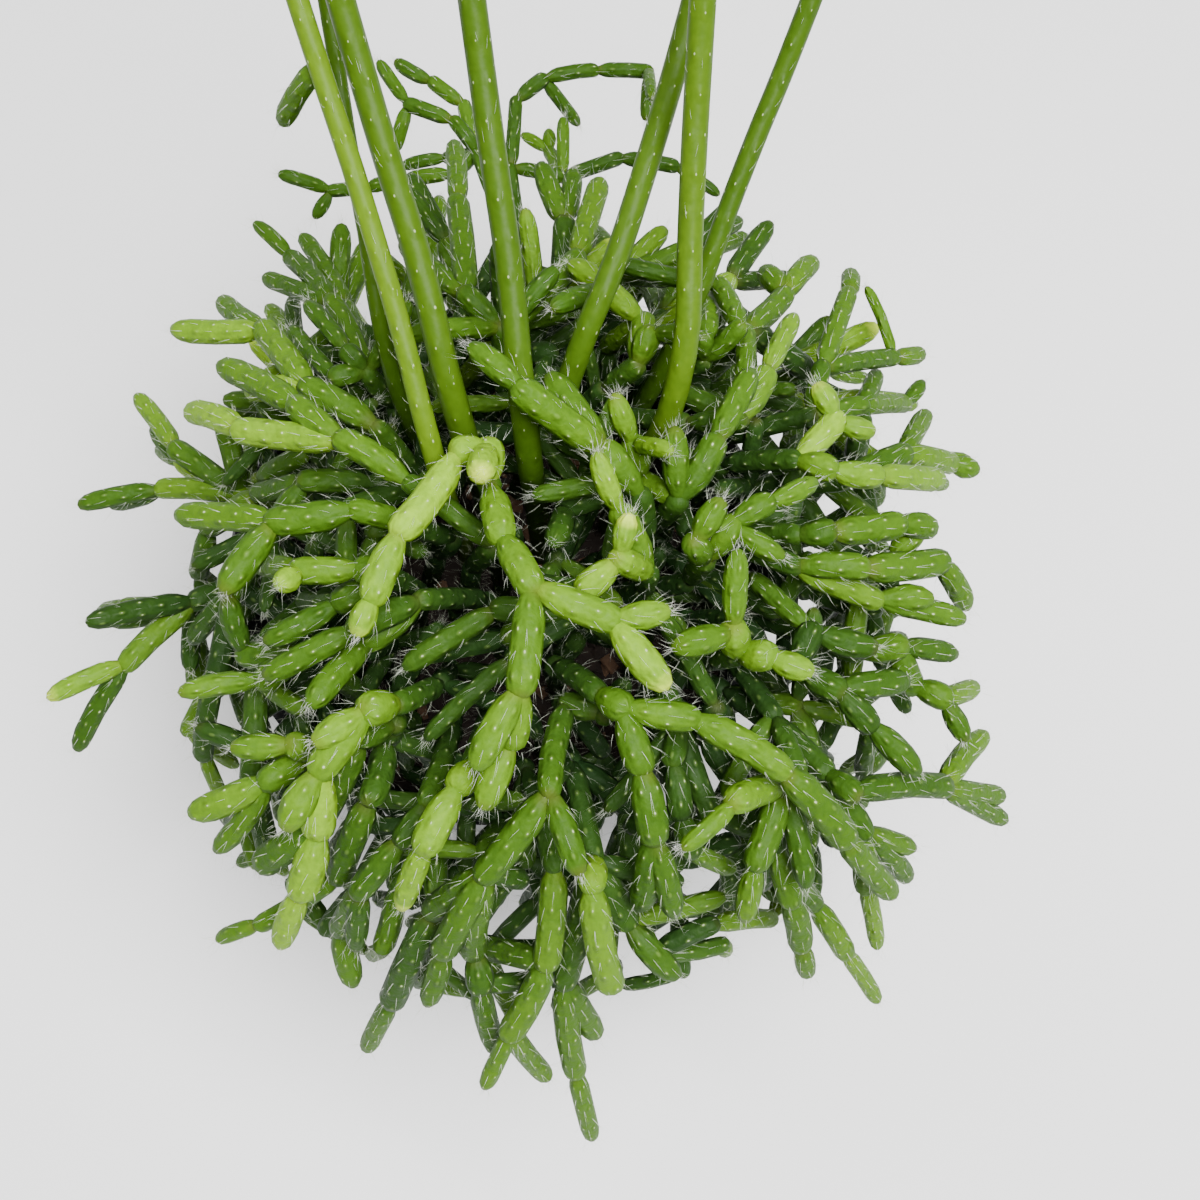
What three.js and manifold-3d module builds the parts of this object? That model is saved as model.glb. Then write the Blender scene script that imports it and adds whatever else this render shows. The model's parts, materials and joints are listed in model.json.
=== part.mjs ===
// A potted Rhipsalis cereuscula: a small jointed cactus that makes a dense mound over a round black
// nursery pot and hangs over its rim, with long smooth shoots leaning back out of it.
// Millimetres, +Z up. The origin is the middle of the pot's flat underside.
import * as THREE from "three";
import { mergeVertices } from "three/addons/utils/BufferGeometryUtils.js";
import Module from "manifold-3d";

const wasm = await Module();
wasm.setup();

// Driving dimensions
const pot = { height: 86, rimRadius: 48, baseRadius: 33, wall: 1.5, sides: 32 };
const lip = { depth: 8, out: 1.5, edge: 0.7 };
const drain = { count: 6, radius: 3.2, ring: 21, sides: 6 };
const soil = { belowRim: 10, gap: 0.4, crown: 3 };
const foot = { depth: 10, rise: 7.5, lean: 0.6, spacing: 6.2, reach: 39.5, places: 210, choices: 26 };
const footHole = { sides: 4, gap: 0.35 };
const stalk = { diameter: 3.8, sides: 3, step: 20, shootSides: 6 };
const joint = { length: 16, longest: 25, slope: 14, sink: 0.45, shoulder: 0.85, tip: 0.3 };
const shoot = { extraSteps: 3, extraStep: 21, lift: 0.2, thinning: 0.86 };
const mound = { x: 8, y: -14, z: 84, radiusX: 78, radiusY: 80, radiusZ: 58 };
const clearance = { gap: 0.5, sample: 1.9, potGap: 0.9 };
const growth = { joints: 396, mostOfStem: 20, seed: 7, lowest: 22, thinnest: 2, thickest: 2.4 };
const fork = { levels: 5, most: 12, tries: 8, spread: 0.6, outward: 0.35, droop: 0.3, beyond: 1.12 };
const filling = { rounds: 5, reach: 34, bare: 6.5, outward: 0.6, leastAhead: 0.1, mostSprouts: 3 };
const sides = { seen: 4, filled: 3 };

// The eye that the visible joints were read from. A sight is a pixel of a square picture 1200
// pixels wide, seen from this place with the eye turned down. The middle of the pot's rim is seen
// at one pixel, from a known distance. Beyond the front rim the stems hang lower and lower.
const eye = { down: 70, focal: 1500, middle: 600, rimX: 500, rimY: 555, rimDistance: 273 };
const droop = { from: 820, rate: 0.06 };

const soilTop = pot.height - soil.belowRim;
const golden = Math.PI * (3 - Math.sqrt(5));
const up = new THREE.Vector3(0, 0, 1);

// Long smooth shoots: name, diameter, and points as [x, y, distance from the eye]
const shootSights = [
  ["shoot_left_bright", 3.2, [[425, 424, 219], [397, 315, 216], [358, 185, 213], [317, 60, 210]]],
  ["shoot_left_broad", 4.2, [[444, 364, 222], [420, 265, 219], [386, 155, 216], [358, 60, 213]]],
  ["shoot_middle", 4.1, [[520, 377, 222], [509, 265, 219], [493, 155, 216], [480, 60, 213]]],
  ["shoot_right_bent", 3.8, [[590, 322, 227], [615, 262, 226], [648, 160, 226], [677, 62, 227]]],
  ["shoot_right_upright", 3.9, [[686, 343, 224], [690, 240, 221], [694, 150, 217], [699, 62, 213]]],
  ["shoot_right_dark", 3.3, [[701, 285, 238], [727, 212, 235], [757, 135, 232], [787, 62, 229]]],
  ["shoot_left_thin", 2.6, [[380, 325, 236], [366, 235, 233], [350, 150, 231], [336, 60, 229]]],
];

// Stems of short joints. Each is: name, diameter, the sight [x, y, forward] where its joints start,
// and runs of joints as [joint to start from, freshness, sights]. forward is how far in front of
// the mound's surface the point lies. Joint 0 is the start, and the others count on in order.
const stemSights = [
  ["front_centre", 5, [490, 486, -2], [
    [0, 0.6, [[502, 540, 2], [534, 592, 5], [520, 694, 6], [476, 766, 6]]],
    [2, 0.75, [[618, 622, 4], [667, 611, 5]]],
    [5, 0.85, [[665, 686, 5]]],
    [3, 0.7, [[511, 744, 0], [484, 806, 1]]],
    [0, 0.8, [[488, 440, 0], [438, 372, 2]]],
    [10, 0.95, [[480, 475, 8]]],
    [10, 0.9, [[452, 452, 2], [397, 535, 4], [371, 602, 4], [357, 634, 4]]],
  ]],
  ["right_long", 5, [600, 695, -4], [
    [0, 0.45, [[627, 710, 0], [697, 719, 1], [788, 773, 3], [848, 842, 3], [892, 894, 2]]],
    [1, 0.4, [[643, 772, -1], [655, 842, -1], [674, 914, -1]]],
    [7, 0.35, [[640, 906, -5]]],
  ]],
  ["left_front", 5.4, [395, 705, -5], [
    [0, 0.8, [[364, 711, 1], [316, 742, 4]]],
    [1, 0.8, [[316, 775, 1], [286, 827, 4]]],
    [3, 0.9, [[318, 835, 0], [300, 896, 1], [281, 944, 0]]],
    [5, 0.4, [[262, 864, -4]]],
  ]],
  ["low_hanging", 4.8, [595, 865, -10], [
    [0, 0.3, [[563, 986, -9], [576, 1074, -11], [592, 1137, -13]]],
    [1, 0.35, [[596, 1034, -9]]],
    [0, 0.35, [[629, 926, -3], [676, 976, -4]]],
    [0, 0.8, [[592, 886, 0], [612, 988, 0]]],
  ]],
  ["low_middle", 4.8, [580, 690, -6], [
    [0, 0.35, [[562, 701, -2], [549, 795, -1], [481, 879, -1], [441, 954, -2], [428, 1002, -3]]],
    [3, 0.3, [[461, 953, -5], [481, 991, -6], [496, 1050, -8]]],
    [2, 0.35, [[579, 872, -3], [600, 925, -2], [606, 988, -3]]],
    [3, 0.25, [[430, 912, -8], [391, 1003, -9], [367, 1048, -12]]],
  ]],
  ["low_front", 4.6, [555, 870, -8], [
    [0, 0.6, [[546, 968, -4], [508, 1036, -5], [485, 1086, -8]]],
    [2, 0.3, [[547, 1077, -9]]],
    [1, 0.6, [[543, 1026, -7]]],
  ]],
  ["low_left_bright", 5, [472, 765, -6], [
    [0, 0.85, [[456, 788, 0], [422, 852, 2], [402, 906, 0]]],
  ]],
  ["low_left", 4.6, [425, 805, -8], [
    [0, 0.2, [[400, 845, -3], [356, 895, -3], [356, 947, -5]]],
    [2, 0.35, [[340, 930, -8], [353, 983, -9]]],
  ]],
  ["low_right_olive", 4.4, [780, 850, -10], [
    [0, 0.4, [[792, 905, -7], [801, 947, -9], [807, 974, -10]]],
    [0, 0.35, [[815, 905, -8], [847, 955, -9], [877, 1000, -11]]],
  ]],
  ["left_long", 4.8, [405, 480, -4], [
    [0, 0.5, [[337, 437, 1], [293, 403, 2], [222, 366, 2]]],
    [1, 0.9, [[236, 430, 3], [190, 412, 3]]],
  ]],
  ["left_hooked", 5.2, [410, 505, -5], [
    [0, 0.5, [[350, 508, 0], [268, 522, 3], [224, 590, 6]]],
    [2, 0.7, [[180, 515, 3]]],
  ]],
  ["upper_centre", 5.2, [640, 492, -7], [
    [0, 0.4, [[600, 446, -2], [517, 387, 2], [472, 347, 4]]],
    [1, 0.3, [[550, 377, -2]]],
  ]],
  ["top_right", 4.8, [680, 500, -8], [
    [0, 0.4, [[718, 437, -2], [751, 373, 0]]],
    [0, 0.45, [[675, 430, -1], [697, 361, 1]]],
    [0, 0.7, [[637, 478, -1], [633, 440, 1], [615, 397, 3]]],
    [6, 0.8, [[670, 451, 3]]],
  ]],
  ["right_far", 4.6, [830, 775, -10], [
    [0, 0.3, [[857, 797, -3], [948, 787, -2], [1001, 796, -2]]],
    [2, 0.35, [[1004, 820, -5]]],
    [2, 0.6, [[984, 735, -1]]],
    [0, 0.4, [[866, 836, -6], [912, 848, -6]]],
    [6, 0.3, [[907, 878, -9]]],
    [6, 0.5, [[866, 890, -8], [868, 946, -9]]],
  ]],
  ["centre_bright", 4.5, [650, 572, -9], [
    [0, 0.9, [[616, 558, 0], [629, 516, 3]]],
    [1, 0.9, [[580, 593, 4]]],
    [0, 0.75, [[618, 508, -3], [597, 455, 2]]],
  ]],
  ["centre_right", 4.6, [706, 560, -8], [
    [0, 0.5, [[692, 541, -2], [721, 501, 2]]],
    [0, 0.5, [[735, 520, -2], [772, 500, 0], [814, 482, 1]]],
    [3, 0.45, [[781, 557, -2]]],
  ]],
  ["right_upright", 5, [742, 655, -7], [
    [0, 0.6, [[733, 628, -1], [738, 553, 4]]],
    [1, 0.55, [[676, 647, 3]]],
    [0, 0.8, [[762, 655, -1], [811, 672, 1]]],
  ]],
  ["right_lower", 4.8, [800, 775, -7], [
    [0, 0.6, [[780, 788, -2], [732, 802, 2]]],
    [1, 0.55, [[754, 868, -1], [745, 918, -2]]],
    [1, 0.35, [[806, 885, -4]]],
  ]],
  ["right_dark", 4.2, [680, 725, -12], [
    [0, 0.1, [[672, 765, -9], [681, 818, -8], [692, 855, -8]]],
    [0, 0.05, [[714, 823, -10]]],
  ]],
  ["right_olive", 4.8, [800, 672, -10], [
    [0, 0.2, [[843, 692, -4], [873, 728, -3], [917, 772, -2]]],
    [1, 0.3, [[905, 681, -4]]],
    [0, 0.15, [[815, 625, -8], [874, 648, -6]]],
  ]],
  ["right_side_low", 4.8, [860, 655, -6], [
    [0, 0.4, [[906, 645, -2], [913, 690, -2], [950, 701, -2], [965, 739, -4]]],
    [1, 0.35, [[954, 654, -4]]],
    [3, 0.6, [[975, 687, -4]]],
  ]],
  ["right_side", 4.8, [800, 535, -6], [
    [0, 0.35, [[835, 531, -2], [902, 524, 0], [931, 528, 0]]],
    [3, 0.5, [[893, 553, 2]]],
  ]],
  ["right_side_fresh", 5, [800, 568, -6], [
    [0, 0.5, [[868, 568, 0], [945, 561, 0], [966, 606, -2]]],
    [0, 0.6, [[880, 602, -4], [930, 590, 1]]],
    [4, 0.45, [[962, 619, -4]]],
  ]],
  ["right_bright", 4.6, [800, 460, -6], [
    [0, 0.7, [[835, 471, -1], [880, 476, 0], [940, 480, 0]]],
    [0, 0.95, [[840, 416, 0], [817, 385, 2]]],
    [4, 0.95, [[872, 432, 1]]],
  ]],
  ["right_upper_tips", 4.4, [850, 480, -14], [
    [0, 0.45, [[908, 452, -8], [926, 414, -8]]],
    [1, 0.5, [[952, 464, -7], [976, 470, -7]]],
  ]],
  ["right_top", 3.7, [815, 415, -14], [
    [0, 0.4, [[823, 363, -8], [849, 291, -8], [850, 274, -8]]],
    [1, 0.4, [[896, 357, -8], [921, 354, -8]]],
    [0, 0.4, [[866, 405, -10], [876, 374, -10]]],
    [6, 0.4, [[906, 404, -10], [922, 383, -10]]],
  ]],
  ["right_top_bright", 4.6, [745, 420, -8], [
    [0, 0.7, [[768, 370, -2], [794, 317, 1]]],
    [0, 0.5, [[757, 328, -6], [787, 293, -6], [813, 262, -6]]],
    [4, 0.5, [[764, 271, -7]]],
  ]],
  ["top_level", 4.4, [640, 365, -8], [
    [0, 0.5, [[652, 328, -2], [689, 336, 2]]],
    [0, 0.75, [[645, 317, -4], [605, 287, -2], [571, 264, -1]]],
  ]],
  ["top_back_right", 3.7, [725, 360, -12], [
    [0, 0.4, [[743, 324, -7], [718, 283, -5]]],
    [0, 0.55, [[705, 335, -8], [706, 284, -7]]],
  ]],
  ["left_upper", 4.8, [375, 425, -10], [
    [0, 0.5, [[302, 385, -2], [262, 327, 0], [222, 301, -1]]],
    [2, 0.8, [[175, 330, 3]]],
  ]],
  ["left_round", 4.6, [385, 575, -7], [
    [0, 0.5, [[358, 568, -2], [292, 570, 0], [250, 560, 1]]],
    [2, 0.9, [[280, 584, 6]]],
    [0, 0.4, [[335, 605, -7], [267, 641, -4]]],
  ]],
  ["left_grey", 4.6, [400, 600, -9], [
    [0, 0.25, [[350, 622, -3], [266, 676, -2]]],
    [0, 0.45, [[363, 645, -1], [311, 704, 1]]],
  ]],
  ["left_low", 4.8, [300, 655, -8], [
    [0, 0.6, [[258, 684, -2], [182, 692, 0]]],
    [0, 0.35, [[240, 655, -5], [228, 598, -3]]],
  ]],
  ["left_side", 4.8, [310, 755, -10], [
    [0, 0.55, [[292, 743, -3], [234, 748, 0]]],
    [0, 0.65, [[262, 784, -3], [193, 813, 0]]],
    [3, 0.45, [[218, 849, -4]]],
  ]],
  ["left_hanging", 4.6, [395, 725, -8], [
    [0, 0.4, [[354, 738, -2], [319, 822, -3]]],
    [0, 0.25, [[384, 740, -5], [361, 802, -7], [337, 880, -9]]],
  ]],
  ["left_back", 3.8, [365, 370, -13], [
    [0, 0.4, [[330, 298, -7], [289, 256, -6], [256, 224, -6]]],
    [0, 0.35, [[345, 305, -9], [303, 237, -7]]],
    [1, 0.15, [[266, 278, -8]]],
    [0, 0.3, [[330, 378, -8], [292, 329, -8]]],
    [0, 0.25, [[344, 348, -9], [307, 304, -8]]],
  ]],
  ["top_hairy", 4.4, [500, 325, -7], [
    [0, 0.4, [[462, 290, 0], [457, 199, 2], [454, 144, 2]]],
    [1, 0.45, [[404, 242, 1]]],
    [0, 0.35, [[555, 270, -2], [547, 206, 0]]],
    [0, 0.5, [[580, 255, -3], [600, 182, -1]]],
  ]],
  ["tuft_left", 3, [476, 150, -14], [
    [0, 0.35, [[450, 176, -17], [408, 180, -18], [370, 187, -19], [328, 191, -20], [280, 174, -20]]],
    [4, 0.35, [[315, 217, -20]]],
    [0, 0.35, [[445, 158, -20], [403, 166, -20]]],
    [0, 0.3, [[452, 118, -14], [405, 103, -16], [379, 62, -18]]],
    [0, 0.35, [[464, 102, -18], [430, 80, -20], [396, 62, -22]]],
    [10, 0.35, [[395, 150, -18]]],
  ]],
  ["tuft_right", 3, [510, 165, -12], [
    [0, 0.25, [[516, 98, -18], [546, 77, -20], [598, 70, -22], [652, 72, -24]]],
    [2, 0.35, [[578, 124, -26]]],
    [4, 0.3, [[646, 119, -22]]],
    [0, 0.2, [[566, 178, -14], [622, 157, -16], [678, 167, -18], [718, 194, -19]]],
    [7, 0.4, [[563, 119, -18]]],
    [7, 0.5, [[548, 150, -22], [523, 135, -24]]],
    [12, 0.5, [[549, 131, -24]]],
  ]],
];

// Manifold solids from three.js geometry, and back
function solidOf(geometry) {
  const bare = geometry.clone();
  bare.deleteAttribute("normal");
  bare.deleteAttribute("uv");
  const merged = mergeVertices(bare, 1e-4);
  return new wasm.Manifold(new wasm.Mesh({
    numProp: 3,
    vertProperties: merged.attributes.position.array,
    triVerts: new Uint32Array(merged.index.array),
  }));
}

function geometryOf(solid) {
  const mesh = solid.getMesh();
  const geometry = new THREE.BufferGeometry();
  geometry.setAttribute("position", new THREE.BufferAttribute(mesh.vertProperties, 3));
  geometry.setIndex(new THREE.BufferAttribute(mesh.triVerts, 1));
  geometry.computeVertexNormals();
  return geometry;
}

// A closed solid turned about Z from [radius, height] points
function turned(points, sides) {
  const profile = points.map(([radius, height]) => new THREE.Vector2(radius, height));
  return new THREE.LatheGeometry(profile, sides).rotateX(Math.PI / 2);
}

// Pot
const wallSlope = (pot.rimRadius - pot.baseRadius) / pot.height;
const outerRadius = (z) => pot.baseRadius + wallSlope * z;
const innerRadius = (z) => outerRadius(z) - pot.wall;

function potGeometry() {
  const lipFoot = pot.height - lip.depth;
  const shell = solidOf(turned([
    [0, 0],
    [pot.baseRadius, 0],
    [outerRadius(lipFoot), lipFoot],
    [outerRadius(lipFoot) + lip.out, lipFoot + lip.edge],
    [pot.rimRadius + lip.out, pot.height - lip.edge],
    [pot.rimRadius + lip.out - lip.edge, pot.height],
    [innerRadius(pot.height) + lip.edge, pot.height],
    [innerRadius(pot.height), pot.height - lip.edge],
    [innerRadius(pot.wall), pot.wall],
    [0, pot.wall],
  ], pot.sides));
  let cut = shell;
  for (let i = 0; i < drain.count; i += 1) {
    const angle = (2 * Math.PI * i) / drain.count;
    const hole = new THREE.CylinderGeometry(drain.radius, drain.radius, 4 * pot.wall, drain.sides);
    hole.rotateX(Math.PI / 2);
    hole.translate(drain.ring * Math.cos(angle), drain.ring * Math.sin(angle), pot.wall / 2);
    cut = cut.subtract(solidOf(hole));
  }
  return geometryOf(cut);
}

// Soil, with a plain hole for the foot of each stem
function soilGeometry(feet) {
  const bottom = pot.wall + soil.gap;
  const disc = solidOf(turned([
    [0, bottom],
    [innerRadius(bottom) - soil.gap, bottom],
    [innerRadius(soilTop) - soil.gap, soilTop],
    [0, soilTop + soil.crown],
  ], pot.sides));
  let cut = disc;
  for (const { x, y, radius } of feet) {
    const across = (radius + footHole.gap) / Math.cos(Math.PI / footHole.sides);
    const height = foot.depth + foot.rise;
    const hole = new THREE.CylinderGeometry(across, across, height, footHole.sides);
    hole.rotateX(Math.PI / 2);
    hole.translate(x, y, soilTop - foot.depth - footHole.gap + height / 2);
    cut = cut.subtract(solidOf(hole));
  }
  return geometryOf(cut);
}

// The eye's axes and place
const down = (eye.down * Math.PI) / 180;
const eyeAhead = new THREE.Vector3(0, Math.cos(down), -Math.sin(down));
const eyeUp = new THREE.Vector3(0, Math.sin(down), Math.cos(down));

// A pixel's line of sight, one millimetre deep
function sightLine(x, y) {
  const line = new THREE.Vector3((x - eye.middle) / eye.focal, 0, 0).add(eyeAhead);
  return line.addScaledVector(eyeUp, (eye.middle - y) / eye.focal);
}

const eyePlace = new THREE.Vector3(0, 0, pot.height)
  .addScaledVector(sightLine(eye.rimX, eye.rimY), -eye.rimDistance);
const moundPlace = new THREE.Vector3(mound.x, mound.y, mound.z);
const moundSize = new THREE.Vector3(mound.radiusX, mound.radiusY, mound.radiusZ);

function placeAt(x, y, distance) {
  return sightLine(x, y).multiplyScalar(distance).add(eyePlace);
}

function distanceOf(place) {
  return place.clone().sub(eyePlace).dot(eyeAhead);
}

// How far along a sight the mound's surface is met, or passed nearest
function moundDistance(x, y) {
  const line = sightLine(x, y).divide(moundSize);
  const start = eyePlace.clone().sub(moundPlace).divide(moundSize);
  const a = line.dot(line);
  const b = line.dot(start);
  const reach = Math.max(b * b - a * (start.dot(start) - 1), 0);
  return (-b - Math.sqrt(reach)) / a + droop.rate * Math.max(y - droop.from, 0);
}

// The place for a sight after the last place, sloping no more than a joint may
function placeAfter(last, [x, y, forward], [across, lower, deeper]) {
  const near = distanceOf(last);
  const step = moundDistance(x, y) - forward - near;
  const slope = Math.min(Math.max(step, -joint.slope), joint.slope);
  return placeAt(x + across, y + lower, near + slope + deeper);
}

// Every placed length of stem: { stem, parent, from, to, radius }
const placed = [];

function distanceTo(point, { from, to }) {
  const line = to.clone().sub(from);
  const along = point.clone().sub(from).dot(line) / line.dot(line);
  const near = line.multiplyScalar(Math.min(Math.max(along, 0), 1)).add(from);
  return near.distanceTo(point);
}

function clearsPot(point, radius) {
  const space = radius + clearance.potGap;
  const out = Math.sqrt(point.x ** 2 + point.y ** 2);
  if (point.z < growth.lowest) return false;
  if (point.z > pot.height) {
    const beyond = out - (pot.rimRadius + lip.out);
    const within = innerRadius(pot.height) - out;
    const aside = Math.max(beyond, within, 0);
    return Math.sqrt((point.z - pot.height) ** 2 + aside ** 2) > space;
  }
  if (out > outerRadius(point.z) + lip.out + space) return true;
  return out < innerRadius(point.z) - space && point.z > soilTop + soil.crown + space;
}

// True where a length keeps clear of the pot, the soil and all that is placed. Next to its own
// parent and the lengths that start beside it, only its end is held clear.
function isClear(from, to, radius, parent) {
  const steps = Math.ceil(from.distanceTo(to) / clearance.sample);
  for (let i = 0; i <= steps; i += 1) {
    const point = from.clone().lerp(to, i / steps);
    if (!clearsPot(point, radius)) return false;
    for (const other of placed) {
      if (other === parent) continue;
      const kin = parent && other.stem === parent.stem;
      const space = radius + other.radius + (kin ? 0 : clearance.gap);
      if (kin && i < steps && point.distanceTo(from) < space) continue;
      if (kin && i < steps && other.parent === parent) continue;
      if (distanceTo(point, other) < space) return false;
    }
  }
  return true;
}

// Roots: places spread evenly over the soil, each used once
const freeFeet = [];
for (let i = 0; i < foot.places; i += 1) {
  const out = foot.reach * Math.sqrt((i + 0.5) / foot.places);
  freeFeet.push({ x: out * Math.cos(i * golden), y: out * Math.sin(i * golden) });
}
const usedFeet = [];

function footChoices(goal) {
  const out = Math.sqrt(goal.x ** 2 + goal.y ** 2);
  const scale = Math.min(foot.lean * out, foot.reach) / Math.max(out, 1);
  const apart = (a, b) => Math.sqrt((a.x - b.x) ** 2 + (a.y - b.y) ** 2);
  const wish = { x: goal.x * scale, y: goal.y * scale };
  return freeFeet
    .filter((place) => usedFeet.every((used) => apart(place, used) >= foot.spacing))
    .sort((a, b) => apart(a, wish) - apart(b, wish))
    .slice(0, foot.choices);
}

// A stalk's course: up out of the soil, then over to the goal, arriving along a direction
function course(place, goal, arrive, bend) {
  const low = new THREE.Vector3(place.x, place.y, soilTop - foot.depth);
  const top = new THREE.Vector3(place.x, place.y, soilTop + foot.rise);
  const span = top.distanceTo(goal);
  const rise = top.clone().addScaledVector(up, span * bend[0]);
  const back = goal.clone().addScaledVector(arrive, -span * bend[1]);
  const curve = new THREE.CubicBezierCurve3(top, rise, back, goal);
  const steps = Math.max(2, Math.round(span / stalk.step));
  return [low, ...curve.getPoints(steps)];
}

function courseIsClear(points, radius) {
  return points.slice(2).every((point, i) => isClear(points[i + 1], point, radius, null));
}

// How far a course runs on straight at its root and before its goal, as shares of its span
const bends = [[0.45, 0.3], [0.7, 0.6], [0.25, 0.45], [1, 0.9], [0.6, 0.1], [0.35, 0], [1.2, 0.6]];

function findCourse(goal, arrive, radius) {
  for (const place of footChoices(goal)) {
    for (const bend of bends) {
      const points = course(place, goal, arrive, bend);
      if (courseIsClear(points, radius)) {
        usedFeet.push(place);
        return points;
      }
    }
  }
  return null;
}

// Lays a stalk's points into the list of placed lengths and gives the last one
function layStalk(stem, points, radius) {
  let last = null;
  for (let i = 1; i < points.length; i += 1) {
    last = { stem, parent: last, from: points[i - 1], to: points[i], radius };
    placed.push(last);
    stem.stalk.push(last);
  }
  return last;
}

// A joint starts a little inside the end of the one that it grows from
function jointStart(parent) {
  const back = parent.from.clone().sub(parent.to).normalize();
  return parent.to.clone().addScaledVector(back, joint.sink * parent.radius);
}

function addJoint(stem, parent, to, radius, freshness, around) {
  const from = jointStart(parent);
  if (from.distanceTo(to) > joint.longest || !isClear(from, to, radius, parent)) return null;
  const made = { stem, parent, from, to, radius, freshness, around };
  placed.push(made);
  stem.joints.push(made);
  return made;
}

const stems = [];

function startStem(name, points, radius, around) {
  const foot = { x: points[0].x, y: points[0].y, radius };
  const stem = { name, foot, stalk: [], joints: [], around };
  layStalk(stem, points, radius);
  stems.push(stem);
  return stem;
}

function growShoot([name, diameter, sights]) {
  const seen = sights.map(([x, y, distance]) => placeAt(x, y, distance));
  let going = seen.at(-1).clone().sub(seen.at(-2)).normalize();
  for (let i = 0; i < shoot.extraSteps; i += 1) {
    going = going.clone().addScaledVector(up, shoot.lift).normalize();
    seen.push(seen.at(-1).clone().addScaledVector(going, shoot.extraStep));
  }
  const arrive = seen[1].clone().sub(seen[0]).normalize();
  const points = findCourse(seen[0], arrive, diameter / 2);
  points.push(...seen.slice(1));
  crown(startStem(name, points, diameter / 2, stalk.shootSides));
}

// A small crown of joints on the end of a long shoot
function crown(stem) {
  const last = stem.stalk.at(-1);
  const ahead = last.to.clone().sub(last.from).normalize();
  const side = new THREE.Vector3().crossVectors(ahead, new THREE.Vector3(1, 0, 0)).normalize();
  for (let i = 0; i < 3; i += 1) {
    const turn = side.clone().applyAxisAngle(ahead, i * golden);
    const way = ahead.clone().addScaledVector(turn, 0.4 + 0.1 * i).normalize();
    const to = last.to.clone().addScaledVector(way, joint.length * (0.75 + 0.08 * i));
    addJoint(stem, last, to, shoot.thinning * last.radius, 0.7, sides.filled);
  }
}

// Moves of a joint's end, in pixels across and down and millimetres back, until it is clear
const unmoved = [0, 0, 0];
const endMoves = [
  unmoved, [0, 0, 2], [0, 0, -2], [0, 0, 4], [0, 0, -4], [9, 0, 0], [-9, 0, 0], [0, 9, 0], [0, -9, 0],
  [0, 0, 7], [0, 0, -7], [12, 0, 4], [-12, 0, 4], [0, 12, 4], [0, -12, 4], [0, 0, 10], [0, 0, 14],
];
const thinnings = [1, 0.88, 0.78];
// Moves of a hidden start, in pixels across and down and millimetres back, until one is free
const startMoves = [
  [0, 0, 0], [0, 0, 4], [18, 0, 2], [-18, 0, 2], [0, 18, 2], [0, -18, 2], [0, 0, 8], [25, 25, 6],
  [-25, 25, 6], [25, -25, 6], [-25, -25, 6], [0, 0, 13], [35, 0, 10], [-35, 0, 10], [0, 35, 10],
  [0, -35, 10], [0, 0, 18], [0, 0, -4],
];

// A stalk to the first free start from which the stem's first joint can grow
function startSeenStem(name, diameter, [startX, startY, forward], firstSight) {
  const radius = Math.min(diameter, stalk.diameter) / 2;
  const thinnest = thinnings.at(-1) * diameter / 2;
  for (const [across, lower, back] of startMoves) {
    const [x, y] = [startX + across, startY + lower];
    const goal = placeAt(x, y, moundDistance(x, y) - forward + back);
    const fits = (move) => {
      const to = placeAfter(goal, firstSight, move);
      return goal.distanceTo(to) < joint.longest && isClear(goal, to, thinnest, null);
    };
    if (!endMoves.some(fits)) continue;
    const arrive = placeAfter(goal, firstSight, unmoved).sub(goal).normalize();
    const points = findCourse(goal, arrive, radius);
    if (points) return startStem(name, points, radius, stalk.sides);
  }
  return null;
}

// A joint to a sight, moved or thinned as little as its neighbours allow
function addSeenJoint(stem, parent, sight, diameter, freshness) {
  for (const thinning of thinnings) {
    for (const move of endMoves) {
      const to = placeAfter(parent.to, sight, move);
      const radius = thinning * diameter / 2;
      const made = addJoint(stem, parent, to, radius, freshness, sides.seen);
      if (made) return made;
    }
  }
  return null;
}

function growSeenStem([name, diameter, start, runs]) {
  const stem = startSeenStem(name, diameter, start, runs[0][2][0]);
  const ends = [stem.stalk.at(-1)];
  for (const [from, freshness, sights] of runs) {
    let parent = ends[from];
    for (const sight of sights) {
      parent = parent && addSeenJoint(stem, parent, sight, diameter, freshness);
      ends.push(parent);
    }
  }
}

let randomState = growth.seed;
function random() {
  randomState = (randomState * 1664525 + 1013904223) % 4294967296;
  return randomState / 4294967296;
}

function between(low, high) {
  return low + (high - low) * random();
}

// A joint that forks off an end, turned aside from it, and drawn outward and down
function sprout(parent) {
  const ahead = parent.to.clone().sub(parent.from).normalize();
  const level = new THREE.Vector3().crossVectors(ahead, up).normalize();
  const outward = parent.to.clone().sub(moundPlace).normalize();
  for (let i = 0; i < fork.tries; i += 1) {
    const aside = level.clone().applyAxisAngle(ahead, between(0, 2 * Math.PI));
    const way = ahead.clone().addScaledVector(aside, fork.spread * between(0.6, 1.4));
    way.addScaledVector(outward, fork.outward).addScaledVector(up, -fork.droop).normalize();
    const to = parent.to.clone().addScaledVector(way, joint.length * between(0.75, 1.15));
    if (to.clone().sub(moundPlace).divide(moundSize).length() > fork.beyond) continue;
    const radius = between(growth.thinnest, growth.thickest);
    const made = addJoint(parent.stem, parent, to, radius, random(), sides.filled);
    if (made) return made;
  }
  return null;
}

// Plain stems behind and at the sides, spread over the mound's far half. Each goal is how steeply
// it lies above the mound's middle and its share of the way to the surface.
const backGoals = [[0.3, 0.62], [0.55, 0.62], [0.15, 0.7], [0.8, 0.55], [0.4, 0.8], [1.2, 0.5], [0.7, 0.8]];

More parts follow.
